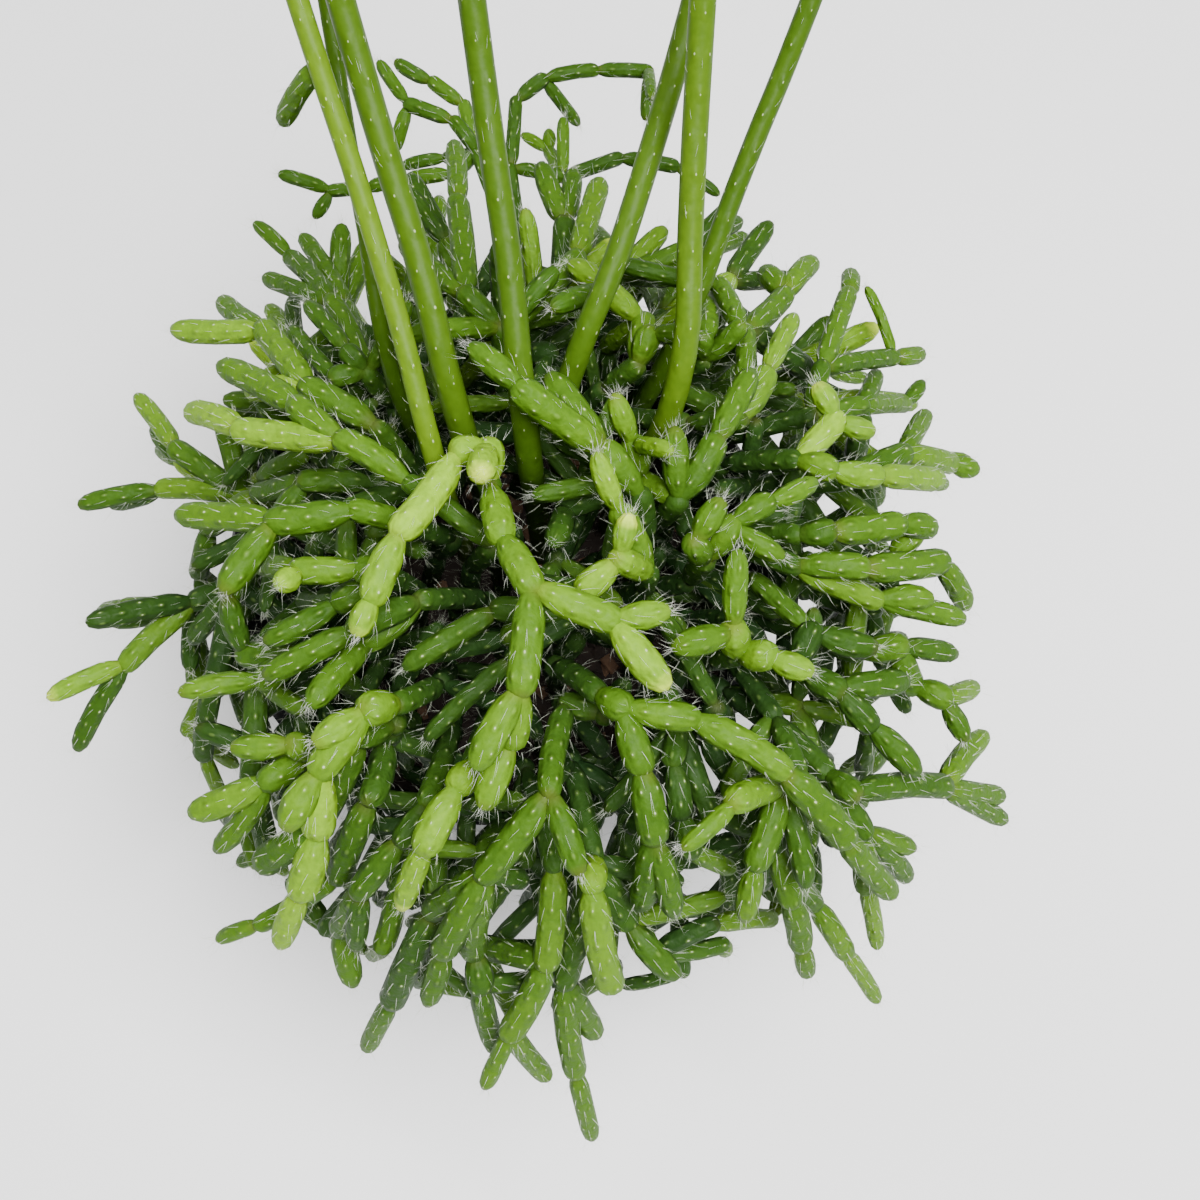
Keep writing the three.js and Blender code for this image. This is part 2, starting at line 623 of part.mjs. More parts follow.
function startBackStem(turn, name) {
  for (const [rise, share] of backGoals) {
    const way = new THREE.Vector3(Math.cos(turn), Math.sin(turn), rise).normalize();
    const goal = way.clone().multiply(moundSize).multiplyScalar(share).add(moundPlace);
    const points = findCourse(goal, way, stalk.diameter / 2);
    if (points) return startStem(name, points, stalk.diameter / 2, stalk.sides);
  }
  return null;
}

function growBackStems() {
  const count = 60 - 2 - shootSights.length - stemSights.length;
  const grown = [];
  for (let i = 0; i < count; i += 1) {
    const stem = startBackStem(Math.PI * ((i + 0.5) / count), `back_${i + 1}`);
    if (stem) grown.push({ stem, ends: [stem.stalk.at(-1)] });
  }
  for (let level = 0; level < fork.levels; level += 1) {
    for (const growing of grown) {
      const room = fork.most - growing.stem.joints.length;
      const forks = growing.ends.flatMap((end) => [end, end]).slice(0, Math.max(room, 0));
      growing.ends = forks.map(sprout).filter((made) => made);
    }
  }
}

function shellPlaces({ share, count, lowest }) {
  const places = [];
  for (let i = 0; i < count; i += 1) {
    const rise = 1 - (1 - lowest) * ((i + 0.5) / count);
    const out = Math.sqrt(1 - rise * rise);
    const way = new THREE.Vector3(out * Math.cos(i * golden), out * Math.sin(i * golden), rise);
    places.push(way.multiply(moundSize).multiplyScalar(share).add(moundPlace));
  }
  return places;
}

// One joint from the nearest stem end that can grow towards a place
function growTowards(place) {
  const ends = placed
    .filter((part) => part.freshness !== undefined || part === part.stem.stalk.at(-1))
    .filter((part) => part.stem.joints.length < growth.mostOfStem)
    .filter((part) => (part.sprouts ?? 0) < filling.mostSprouts)
    .map((part) => ({ part, far: part.to.distanceTo(place) }))
    .filter(({ far }) => far < filling.reach)
    .sort((a, b) => a.far - b.far)
    .slice(0, 7);
  const radius = between(growth.thinnest, growth.thickest);
  const length = joint.length * between(0.75, 1.15);
  const freshness = random();
  for (const { part } of ends) {
    const ahead = part.to.clone().sub(part.from).normalize();
    const outward = part.to.clone().sub(moundPlace).normalize();
    for (const lean of [0, 0.4, -0.4]) {
      const way = place.clone().sub(part.to).normalize();
      way.addScaledVector(outward, filling.outward).addScaledVector(up, lean).normalize();
      if (way.dot(ahead) < filling.leastAhead) continue;
      const to = part.to.clone().addScaledVector(way, length);
      if (!addJoint(part.stem, part, to, radius, freshness, sides.filled)) continue;
      part.sprouts = (part.sprouts ?? 0) + 1;
      return;
    }
  }
}

// Filling: the barest places of a shell of the mound are grown towards first, in rounds, until the
// plant has its number of joints. The far side is filled first: none of it has been placed yet.
const shells = [
  { share: 0.8, count: 220, lowest: 0, front: 10 },
  { share: 0.97, count: 380, lowest: -0.4, front: -100 },
];

function countJoints() {
  return stems.reduce((sum, stem) => sum + stem.joints.length, 0);
}

function bareness(place) {
  return Math.min(...placed.map((part) => distanceTo(place, part)));
}

function fillShell(shell) {
  for (let round = 0; round < filling.rounds; round += 1) {
    const bare = shellPlaces(shell)
      .map((place) => ({ place, gap: bareness(place) }))
      .filter(({ place, gap }) => place.y > shell.front && gap > filling.bare)
      .sort((a, b) => b.gap - a.gap);
    for (const { place } of bare) {
      if (countJoints() >= growth.joints) return;
      if (bareness(place) > filling.bare) growTowards(place);
    }
  }
}

// A curve that runs straight from point to point, with one step of an extrusion to each
class StepCurve extends THREE.Curve {
  constructor(points) {
    super();
    this.points = points;
  }
  getSpacedPoints() {
    return this.points;
  }
  getUtoTmapping(u) {
    return u;
  }
  getPoint(t) {
    const along = t * (this.points.length - 1);
    const i = Math.min(Math.floor(along), this.points.length - 2);
    return this.points[i].clone().lerp(this.points[i + 1], along - i);
  }
}

function stalkSolid({ stalk: lengths, around }) {
  const section = new THREE.Shape();
  for (let i = 0; i < around; i += 1) {
    const turn = (2 * Math.PI * i) / around;
    const [x, y] = [lengths[0].radius * Math.cos(turn), lengths[0].radius * Math.sin(turn)];
    if (i === 0) section.moveTo(x, y);
    else section.lineTo(x, y);
  }
  const path = new StepCurve([lengths[0].from, ...lengths.map((length) => length.to)]);
  return solidOf(new THREE.ExtrudeGeometry(section, { steps: lengths.length, extrudePath: path }));
}

function jointSolid({ from, to, radius, around }) {
  const length = from.distanceTo(to);
  const shoulder = Math.min(joint.shoulder * radius, 0.4 * length);
  const spindle = new THREE.LatheGeometry([
    new THREE.Vector2(0, -joint.tip * radius),
    new THREE.Vector2(radius, shoulder),
    new THREE.Vector2(radius, length - shoulder * 0.8),
    new THREE.Vector2(0, length + joint.tip * radius),
  ], around);
  const ahead = to.clone().sub(from).normalize();
  spindle.applyQuaternion(new THREE.Quaternion().setFromUnitVectors(new THREE.Vector3(0, 1, 0), ahead));
  spindle.translate(from.x, from.y, from.z);
  return solidOf(spindle);
}

function stemMesh(stem) {
  const parts = [stalkSolid(stem), ...stem.joints.map(jointSolid)];
  const fused = wasm.Manifold.union(parts);
  const fresh = stem.joints.reduce((sum, part) => sum + part.freshness, 0) / stem.joints.length;
  const colour = new THREE.Color(0x2f5a26).lerp(new THREE.Color(0x9cc63a), fresh);
  const material = new THREE.MeshStandardMaterial({ color: colour, roughness: 0.5, metalness: 0 });
  const mesh = new THREE.Mesh(geometryOf(fused), material);
  mesh.name = `stem_${stem.name}`;
  return mesh;
}

// The plant in its pot
const plant = new THREE.Group();

function addPiece(name, geometry, colour, roughness) {
  const material = new THREE.MeshStandardMaterial({ color: colour, roughness, metalness: 0 });
  const mesh = new THREE.Mesh(geometry, material);
  mesh.name = name;
  plant.add(mesh);
}

shootSights.forEach(growShoot);
stemSights.forEach(growSeenStem);
growBackStems();
shells.forEach(fillShell);
addPiece("pot", potGeometry(), 0x1d2024, 0.45);
const leafy = stems.filter((stem) => stem.joints.length > 0);
addPiece("soil", soilGeometry(leafy.map((stem) => stem.foot)), 0x2a1d14, 0.95);
leafy.forEach((stem) => plant.add(stemMesh(stem)));

export default plant;
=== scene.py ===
import bpy
import json
import math
import numpy as np
from mathutils import Euler, Matrix, Vector, noise

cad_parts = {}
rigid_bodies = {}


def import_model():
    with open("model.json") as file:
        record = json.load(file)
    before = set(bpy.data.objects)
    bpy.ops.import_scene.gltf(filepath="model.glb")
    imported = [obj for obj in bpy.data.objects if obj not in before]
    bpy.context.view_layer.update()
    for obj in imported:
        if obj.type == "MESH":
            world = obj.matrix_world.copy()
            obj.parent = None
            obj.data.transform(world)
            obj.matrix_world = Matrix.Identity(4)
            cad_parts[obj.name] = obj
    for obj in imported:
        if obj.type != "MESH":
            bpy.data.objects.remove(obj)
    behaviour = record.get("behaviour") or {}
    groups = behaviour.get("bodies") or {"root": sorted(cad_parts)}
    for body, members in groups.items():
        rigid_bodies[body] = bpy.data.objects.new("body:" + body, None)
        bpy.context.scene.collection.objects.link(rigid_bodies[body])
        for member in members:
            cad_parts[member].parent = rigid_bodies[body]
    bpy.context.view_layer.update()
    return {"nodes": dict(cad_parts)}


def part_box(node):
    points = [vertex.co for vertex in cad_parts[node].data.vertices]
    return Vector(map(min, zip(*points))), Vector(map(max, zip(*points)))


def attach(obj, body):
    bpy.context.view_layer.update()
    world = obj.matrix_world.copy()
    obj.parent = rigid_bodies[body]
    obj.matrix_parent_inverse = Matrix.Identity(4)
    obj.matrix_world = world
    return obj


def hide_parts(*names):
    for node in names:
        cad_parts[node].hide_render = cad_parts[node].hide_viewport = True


# A potted Rhipsalis cereuscula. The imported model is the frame: every stem, the soil and the pot
# are replaced by finer pieces of the same form, and areoles, bristles and crumbs are added.
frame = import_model()
bpy.ops.object.select_all(action="DESELECT")
mm = 0.001
print("frame loaded:", len(frame["nodes"]), "nodes")

# How the plant grows, in millimetres. The stems, their joints and the order they grow in are those
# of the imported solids, so each finer joint lies where its plain one does.
pot = {"height": 86, "rim": 48, "base": 33, "wall": 1.5, "lipDepth": 8, "lipOut": 1.5, "lipEdge": 0.7}
soil = {"belowRim": 10, "gap": 0.4, "crown": 3}
foot = {"depth": 10, "rise": 7.5, "lean": 0.6, "spacing": 6.2, "reach": 39.5, "places": 210, "choices": 26}
stalk = {"diameter": 3.8, "step": 20}
joint = {"length": 16, "longest": 25, "slope": 14, "sink": 0.45, "lengths": (0.75, 1.15)}
shoot = {
    "extraSteps": 3, "extraStep": 21, "lift": 0.2, "thinning": 0.86,
    "crown": 3, "crownFresh": 0.7, "crownSpread": (0.4, 0.1), "crownLength": (0.75, 0.08),
    "tones": {
        "shoot_left_bright": 0.75, "shoot_left_broad": 0.4, "shoot_middle": 0.3,
        "shoot_right_bent": 0.35, "shoot_right_upright": 0.55, "shoot_right_dark": 0.25,
        "shoot_left_thin": 0.25,
    },
}
mound = {"place": np.array([8.0, -14.0, 84.0]), "size": np.array([78.0, 80.0, 58.0])}
clearance = {"gap": 0.5, "sample": 1.9, "potGap": 0.9}
growth = {
    "joints": 396, "mostOfStem": 20, "lowest": 22, "thinnest": 2, "thickest": 2.4, "backStems": 12,
}
fork = {
    "levels": 5, "most": 12, "tries": 8, "spread": 0.6, "spreads": (0.6, 1.4),
    "outward": 0.35, "droop": 0.3, "beyond": 1.12,
}
filling = {
    "rounds": 5, "reach": 34, "bare": 6.5, "outward": 0.6, "leastAhead": 0.1, "mostSprouts": 3,
    "nearest": 7, "leans": (0, 0.4, -0.4),
    "shells": [(0.8, 220, 0, 10), (0.97, 380, -0.4, -100)],  # share of the mound, places, lowest, front
}
dice = {"seed": 7, "times": 1664525, "plus": 1013904223, "within": 4294967296}

# The eye that the joints are seen from: a sight is a pixel of a picture 1200 wide
eye = {"down": 70, "focal": 1500, "middle": 600, "rimX": 500, "rimY": 555, "rimDistance": 273}
droop = {"from": 820, "rate": 0.06}

# Long smooth shoots: name, diameter, and points as [x, y, distance from the eye]
shootSights = [
  ["shoot_left_bright", 3.2, [[425, 424, 219], [397, 315, 216], [358, 185, 213], [317, 60, 210]]],
  ["shoot_left_broad", 4.2, [[444, 364, 222], [420, 265, 219], [386, 155, 216], [358, 60, 213]]],
  ["shoot_middle", 4.1, [[520, 377, 222], [509, 265, 219], [493, 155, 216], [480, 60, 213]]],
  ["shoot_right_bent", 3.8, [[590, 322, 227], [615, 262, 226], [648, 160, 226], [677, 62, 227]]],
  ["shoot_right_upright", 3.9, [[686, 343, 224], [690, 240, 221], [694, 150, 217], [699, 62, 213]]],
  ["shoot_right_dark", 3.3, [[701, 285, 238], [727, 212, 235], [757, 135, 232], [787, 62, 229]]],
  ["shoot_left_thin", 2.6, [[380, 325, 236], [366, 235, 233], [350, 150, 231], [336, 60, 229]]],
]
# Stems of short joints. Each is: name, diameter, the sight [x, y, forward] where its joints start,
# and runs of joints as [joint to start from, freshness, sights]. forward is how far in front of
# the mound's surface the point lies. Joint 0 is the start, and the others count on in order.
stemSights = [
  ["front_centre", 5, [490, 486, -2], [
    [0, 0.6, [[502, 540, 2], [534, 592, 5], [520, 694, 6], [476, 766, 6]]],
    [2, 0.75, [[618, 622, 4], [667, 611, 5]]],
    [5, 0.85, [[665, 686, 5]]],
    [3, 0.7, [[511, 744, 0], [484, 806, 1]]],
    [0, 0.8, [[488, 440, 0], [438, 372, 2]]],
    [10, 0.95, [[480, 475, 8]]],
    [10, 0.9, [[452, 452, 2], [397, 535, 4], [371, 602, 4], [357, 634, 4]]],
  ]],
  ["right_long", 5, [600, 695, -4], [
    [0, 0.45, [[627, 710, 0], [697, 719, 1], [788, 773, 3], [848, 842, 3], [892, 894, 2]]],
    [1, 0.4, [[643, 772, -1], [655, 842, -1], [674, 914, -1]]],
    [7, 0.35, [[640, 906, -5]]],
  ]],
  ["left_front", 5.4, [395, 705, -5], [
    [0, 0.8, [[364, 711, 1], [316, 742, 4]]],
    [1, 0.8, [[316, 775, 1], [286, 827, 4]]],
    [3, 0.9, [[318, 835, 0], [300, 896, 1], [281, 944, 0]]],
    [5, 0.4, [[262, 864, -4]]],
  ]],
  ["low_hanging", 4.8, [595, 865, -10], [
    [0, 0.3, [[563, 986, -9], [576, 1074, -11], [592, 1137, -13]]],
    [1, 0.35, [[596, 1034, -9]]],
    [0, 0.35, [[629, 926, -3], [676, 976, -4]]],
    [0, 0.8, [[592, 886, 0], [612, 988, 0]]],
  ]],
  ["low_middle", 4.8, [580, 690, -6], [
    [0, 0.35, [[562, 701, -2], [549, 795, -1], [481, 879, -1], [441, 954, -2], [428, 1002, -3]]],
    [3, 0.3, [[461, 953, -5], [481, 991, -6], [496, 1050, -8]]],
    [2, 0.35, [[579, 872, -3], [600, 925, -2], [606, 988, -3]]],
    [3, 0.25, [[430, 912, -8], [391, 1003, -9], [367, 1048, -12]]],
  ]],
  ["low_front", 4.6, [555, 870, -8], [
    [0, 0.6, [[546, 968, -4], [508, 1036, -5], [485, 1086, -8]]],
    [2, 0.3, [[547, 1077, -9]]],
    [1, 0.6, [[543, 1026, -7]]],
  ]],
  ["low_left_bright", 5, [472, 765, -6], [
    [0, 0.85, [[456, 788, 0], [422, 852, 2], [402, 906, 0]]],
  ]],
  ["low_left", 4.6, [425, 805, -8], [
    [0, 0.2, [[400, 845, -3], [356, 895, -3], [356, 947, -5]]],
    [2, 0.35, [[340, 930, -8], [353, 983, -9]]],
  ]],
  ["low_right_olive", 4.4, [780, 850, -10], [
    [0, 0.4, [[792, 905, -7], [801, 947, -9], [807, 974, -10]]],
    [0, 0.35, [[815, 905, -8], [847, 955, -9], [877, 1000, -11]]],
  ]],
  ["left_long", 4.8, [405, 480, -4], [
    [0, 0.5, [[337, 437, 1], [293, 403, 2], [222, 366, 2]]],
    [1, 0.9, [[236, 430, 3], [190, 412, 3]]],
  ]],
  ["left_hooked", 5.2, [410, 505, -5], [
    [0, 0.5, [[350, 508, 0], [268, 522, 3], [224, 590, 6]]],
    [2, 0.7, [[180, 515, 3]]],
  ]],
  ["upper_centre", 5.2, [640, 492, -7], [
    [0, 0.4, [[600, 446, -2], [517, 387, 2], [472, 347, 4]]],
    [1, 0.3, [[550, 377, -2]]],
  ]],
  ["top_right", 4.8, [680, 500, -8], [
    [0, 0.4, [[718, 437, -2], [751, 373, 0]]],
    [0, 0.45, [[675, 430, -1], [697, 361, 1]]],
    [0, 0.7, [[637, 478, -1], [633, 440, 1], [615, 397, 3]]],
    [6, 0.8, [[670, 451, 3]]],
  ]],
  ["right_far", 4.6, [830, 775, -10], [
    [0, 0.3, [[857, 797, -3], [948, 787, -2], [1001, 796, -2]]],
    [2, 0.35, [[1004, 820, -5]]],
    [2, 0.6, [[984, 735, -1]]],
    [0, 0.4, [[866, 836, -6], [912, 848, -6]]],
    [6, 0.3, [[907, 878, -9]]],
    [6, 0.5, [[866, 890, -8], [868, 946, -9]]],
  ]],
  ["centre_bright", 4.5, [650, 572, -9], [
    [0, 0.9, [[616, 558, 0], [629, 516, 3]]],
    [1, 0.9, [[580, 593, 4]]],
    [0, 0.75, [[618, 508, -3], [597, 455, 2]]],
  ]],
  ["centre_right", 4.6, [706, 560, -8], [
    [0, 0.5, [[692, 541, -2], [721, 501, 2]]],
    [0, 0.5, [[735, 520, -2], [772, 500, 0], [814, 482, 1]]],
    [3, 0.45, [[781, 557, -2]]],
  ]],
  ["right_upright", 5, [742, 655, -7], [
    [0, 0.6, [[733, 628, -1], [738, 553, 4]]],
    [1, 0.55, [[676, 647, 3]]],
    [0, 0.8, [[762, 655, -1], [811, 672, 1]]],
  ]],
  ["right_lower", 4.8, [800, 775, -7], [
    [0, 0.6, [[780, 788, -2], [732, 802, 2]]],
    [1, 0.55, [[754, 868, -1], [745, 918, -2]]],
    [1, 0.35, [[806, 885, -4]]],
  ]],
  ["right_dark", 4.2, [680, 725, -12], [
    [0, 0.1, [[672, 765, -9], [681, 818, -8], [692, 855, -8]]],
    [0, 0.05, [[714, 823, -10]]],
  ]],
  ["right_olive", 4.8, [800, 672, -10], [
    [0, 0.2, [[843, 692, -4], [873, 728, -3], [917, 772, -2]]],
    [1, 0.3, [[905, 681, -4]]],
    [0, 0.15, [[815, 625, -8], [874, 648, -6]]],
  ]],
  ["right_side_low", 4.8, [860, 655, -6], [
    [0, 0.4, [[906, 645, -2], [913, 690, -2], [950, 701, -2], [965, 739, -4]]],
    [1, 0.35, [[954, 654, -4]]],
    [3, 0.6, [[975, 687, -4]]],
  ]],
  ["right_side", 4.8, [800, 535, -6], [
    [0, 0.35, [[835, 531, -2], [902, 524, 0], [931, 528, 0]]],
    [3, 0.5, [[893, 553, 2]]],
  ]],
  ["right_side_fresh", 5, [800, 568, -6], [
    [0, 0.5, [[868, 568, 0], [945, 561, 0], [966, 606, -2]]],
    [0, 0.6, [[880, 602, -4], [930, 590, 1]]],
    [4, 0.45, [[962, 619, -4]]],
  ]],
  ["right_bright", 4.6, [800, 460, -6], [
    [0, 0.7, [[835, 471, -1], [880, 476, 0], [940, 480, 0]]],
    [0, 0.95, [[840, 416, 0], [817, 385, 2]]],
    [4, 0.95, [[872, 432, 1]]],
  ]],
  ["right_upper_tips", 4.4, [850, 480, -14], [
    [0, 0.45, [[908, 452, -8], [926, 414, -8]]],
    [1, 0.5, [[952, 464, -7], [976, 470, -7]]],
  ]],
  ["right_top", 3.7, [815, 415, -14], [
    [0, 0.4, [[823, 363, -8], [849, 291, -8], [850, 274, -8]]],
    [1, 0.4, [[896, 357, -8], [921, 354, -8]]],
    [0, 0.4, [[866, 405, -10], [876, 374, -10]]],
    [6, 0.4, [[906, 404, -10], [922, 383, -10]]],
  ]],
  ["right_top_bright", 4.6, [745, 420, -8], [
    [0, 0.7, [[768, 370, -2], [794, 317, 1]]],
    [0, 0.5, [[757, 328, -6], [787, 293, -6], [813, 262, -6]]],
    [4, 0.5, [[764, 271, -7]]],
  ]],
  ["top_level", 4.4, [640, 365, -8], [
    [0, 0.5, [[652, 328, -2], [689, 336, 2]]],
    [0, 0.75, [[645, 317, -4], [605, 287, -2], [571, 264, -1]]],
  ]],
  ["top_back_right", 3.7, [725, 360, -12], [
    [0, 0.4, [[743, 324, -7], [718, 283, -5]]],
    [0, 0.55, [[705, 335, -8], [706, 284, -7]]],
  ]],
  ["left_upper", 4.8, [375, 425, -10], [
    [0, 0.5, [[302, 385, -2], [262, 327, 0], [222, 301, -1]]],
    [2, 0.8, [[175, 330, 3]]],
  ]],
  ["left_round", 4.6, [385, 575, -7], [
    [0, 0.5, [[358, 568, -2], [292, 570, 0], [250, 560, 1]]],
    [2, 0.9, [[280, 584, 6]]],
    [0, 0.4, [[335, 605, -7], [267, 641, -4]]],
  ]],
  ["left_grey", 4.6, [400, 600, -9], [
    [0, 0.25, [[350, 622, -3], [266, 676, -2]]],
    [0, 0.45, [[363, 645, -1], [311, 704, 1]]],
  ]],
  ["left_low", 4.8, [300, 655, -8], [
    [0, 0.6, [[258, 684, -2], [182, 692, 0]]],
    [0, 0.35, [[240, 655, -5], [228, 598, -3]]],
  ]],
  ["left_side", 4.8, [310, 755, -10], [
    [0, 0.55, [[292, 743, -3], [234, 748, 0]]],
    [0, 0.65, [[262, 784, -3], [193, 813, 0]]],
    [3, 0.45, [[218, 849, -4]]],
  ]],
  ["left_hanging", 4.6, [395, 725, -8], [
    [0, 0.4, [[354, 738, -2], [319, 822, -3]]],
    [0, 0.25, [[384, 740, -5], [361, 802, -7], [337, 880, -9]]],
  ]],
  ["left_back", 3.8, [365, 370, -13], [
    [0, 0.4, [[330, 298, -7], [289, 256, -6], [256, 224, -6]]],
    [0, 0.35, [[345, 305, -9], [303, 237, -7]]],
    [1, 0.15, [[266, 278, -8]]],
    [0, 0.3, [[330, 378, -8], [292, 329, -8]]],
    [0, 0.25, [[344, 348, -9], [307, 304, -8]]],
  ]],
  ["top_hairy", 4.4, [500, 325, -7], [
    [0, 0.4, [[462, 290, 0], [457, 199, 2], [454, 144, 2]]],
    [1, 0.45, [[404, 242, 1]]],
    [0, 0.35, [[555, 270, -2], [547, 206, 0]]],
    [0, 0.5, [[580, 255, -3], [600, 182, -1]]],
  ]],
  ["tuft_left", 3, [476, 150, -14], [
    [0, 0.35, [[450, 176, -17], [408, 180, -18], [370, 187, -19], [328, 191, -20], [280, 174, -20]]],
    [4, 0.35, [[315, 217, -20]]],
    [0, 0.35, [[445, 158, -20], [403, 166, -20]]],
    [0, 0.3, [[452, 118, -14], [405, 103, -16], [379, 62, -18]]],
    [0, 0.35, [[464, 102, -18], [430, 80, -20], [396, 62, -22]]],
    [10, 0.35, [[395, 150, -18]]],
  ]],
  ["tuft_right", 3, [510, 165, -12], [
    [0, 0.25, [[516, 98, -18], [546, 77, -20], [598, 70, -22], [652, 72, -24]]],
    [2, 0.35, [[578, 124, -26]]],
    [4, 0.3, [[646, 119, -22]]],
    [0, 0.2, [[566, 178, -14], [622, 157, -16], [678, 167, -18], [718, 194, -19]]],
    [7, 0.4, [[563, 119, -18]]],
    [7, 0.5, [[548, 150, -22], [523, 135, -24]]],
    [12, 0.5, [[549, 131, -24]]],
  ]],
]


up = np.array([0.0, 0.0, 1.0])
golden = math.pi * (3 - math.sqrt(5))
down = math.radians(eye["down"])
eyeAhead = np.array([0.0, math.cos(down), -math.sin(down)])
eyeUp = np.array([0.0, math.sin(down), math.cos(down)])
soilTop = pot["height"] - soil["belowRim"]


def length(v):
    return math.sqrt(v[0] * v[0] + v[1] * v[1] + v[2] * v[2])


def unit(v):
    return v / length(v)


def turnAbout(v, axis, angle):
    across = np.cross(axis, v)
    return v + math.sin(angle) * across + (1 - math.cos(angle)) * np.cross(axis, across)


def sightLine(x, y):
    line = np.array([(x - eye["middle"]) / eye["focal"], 0.0, 0.0]) + eyeAhead
    return line + eyeUp * ((eye["middle"] - y) / eye["focal"])


eyePlace = np.array([0.0, 0.0, pot["height"]]) - sightLine(eye["rimX"], eye["rimY"]) * eye["rimDistance"]


def placeAt(x, y, distance):
    return sightLine(x, y) * distance + eyePlace


def moundDistance(x, y):  # how far along a sight the mound's surface is met, or passed nearest
    line = sightLine(x, y) / mound["size"]
    start = (eyePlace - mound["place"]) / mound["size"]
    a, b = line @ line, line @ start
    reach = max(b * b - a * (start @ start - 1), 0)
    return (-b - math.sqrt(reach)) / a + droop["rate"] * max(y - droop["from"], 0)


def placeAfter(last, sight, move):  # the place for a sight after the last place
    near = (last - eyePlace) @ eyeAhead
    step = moundDistance(sight[0], sight[1]) - sight[2] - near
    slope = min(max(step, -joint["slope"]), joint["slope"])
    return placeAt(sight[0] + move[0], sight[1] + move[1], near + slope + move[2])


class Stretch:  # one straight length of a stalk or one joint
    def __init__(self, stem, parent, start, end, radius, fresh=None):
        self.stem, self.parent, self.start, self.end = stem, parent, start, end
        self.radius, self.fresh, self.sprouts, self.number = radius, fresh, 0, len(placed)


class Stem:
    def __init__(self, name):
        self.name, self.stalk, self.joints, self.number = name, [], [], len(stems)


placed, stems = [], []
room = 2500  # the most stretches there can be
placedStart, placedLine = np.zeros((room, 3)), np.zeros((room, 3))
placedSquare, placedRadius = np.ones(room), np.zeros(room)
placedStem, placedParent = np.zeros(room, int), np.zeros(room, int)


def put(stretch):
    n = stretch.number
    placedStart[n], placedLine[n] = stretch.start, stretch.end - stretch.start
    placedSquare[n] = placedLine[n] @ placedLine[n]
    placedRadius[n], placedStem[n] = stretch.radius, stretch.stem.number
    placedParent[n] = stretch.parent.number if stretch.parent else -1
    placed.append(stretch)


def distances(points):  # from each point to each placed stretch
    n = len(placed)
    offset = points[:, None, :] - placedStart[None, :n]
    along = np.clip((offset * placedLine[:n]).sum(2) / placedSquare[:n], 0, 1)
    return np.sqrt(((offset - placedLine[:n] * along[:, :, None]) ** 2).sum(2))


def outerRadius(z):
    return pot["base"] + (pot["rim"] - pot["base"]) / pot["height"] * z


def innerRadius(z):
    return outerRadius(z) - pot["wall"]


def clearsPot(points, radius):
    space = radius + clearance["potGap"]
    out, z = np.sqrt(points[:, 0] ** 2 + points[:, 1] ** 2), points[:, 2]
    aside = np.maximum(np.maximum(out - pot["rim"] - pot["lipOut"], innerRadius(pot["height"]) - out), 0)
    above = np.sqrt((z - pot["height"]) ** 2 + aside ** 2) > space
    beside = out > outerRadius(z) + pot["lipOut"] + space
    inside = (out < innerRadius(z) - space) & (z > soilTop + soil["crown"] + space)
    return bool(((z >= growth["lowest"]) & np.where(z > pot["height"], above, beside | inside)).all())


def samples(start, end):
    steps = math.ceil(length(start - end) / clearance["sample"])
    return start + (end - start) * (np.arange(steps + 1) / steps)[:, None]


def isClear(start, end, radius, parent):
    points = samples(start, end)
    if not clearsPot(points, radius):
        return False
    if not placed:
        return True
    n = len(placed)
    kin = placedStem[:n] == (parent.stem.number if parent else -2)
    space = radius + placedRadius[:n] + np.where(kin, 0, clearance["gap"])
    close = distances(points) < space
    if parent:
        fromStart = np.sqrt(((points - start) ** 2).sum(1))
        notLast = (np.arange(len(points)) < len(points) - 1)[:, None]
        close &= ~(kin & notLast & (fromStart[:, None] < space))
        close &= ~(kin & notLast & (placedParent[:n] == parent.number))
        close[:, parent.number] = False
    return not close.any()


freeFeet = []
for i in range(foot["places"]):
    out = foot["reach"] * math.sqrt((i + 0.5) / foot["places"])
    freeFeet.append((out * math.cos(i * golden), out * math.sin(i * golden)))
usedFeet = []


def apart(a, b):
    return math.sqrt((a[0] - b[0]) ** 2 + (a[1] - b[1]) ** 2)


def footChoices(goal):
    out = math.sqrt(goal[0] ** 2 + goal[1] ** 2)
    scale = min(foot["lean"] * out, foot["reach"]) / max(out, 1)
    wish = (goal[0] * scale, goal[1] * scale)
    free = [f for f in freeFeet if all(apart(f, used) >= foot["spacing"] for used in usedFeet)]
    return sorted(free, key=lambda f: apart(f, wish))[:foot["choices"]]


def course(place, goal, arrive, bend):  # up out of the soil, then over to the goal
    low = np.array([place[0], place[1], soilTop - foot["depth"]])
    top = np.array([place[0], place[1], soilTop + foot["rise"]])
    span = length(top - goal)
    rise, back = top + up * (span * bend[0]), goal - arrive * (span * bend[1])
    steps = max(2, math.floor(span / stalk["step"] + 0.5))
    t = (np.arange(steps + 1) / steps)[:, None]
    k = 1 - t
    curve = k ** 3 * top + 3 * k * k * t * rise + 3 * k * t * t * back + t ** 3 * goal
    return [low, *curve]


def courseIsClear(points, radius):
    along = np.concatenate([samples(a, b) for a, b in zip(points[1:], points[2:])])
    if not clearsPot(along, radius):
        return False
    space = radius + placedRadius[:len(placed)] + clearance["gap"]
    return not placed or not (distances(along) < space).any()


bends = [[0.45, 0.3], [0.7, 0.6], [0.25, 0.45], [1, 0.9], [0.6, 0.1], [0.35, 0], [1.2, 0.6]]


def findCourse(goal, arrive, radius):
    for place in footChoices(goal):
        for bend in bends:
            points = course(place, goal, arrive, bend)
            if courseIsClear(points, radius):
                usedFeet.append(place)
                return points
    return None


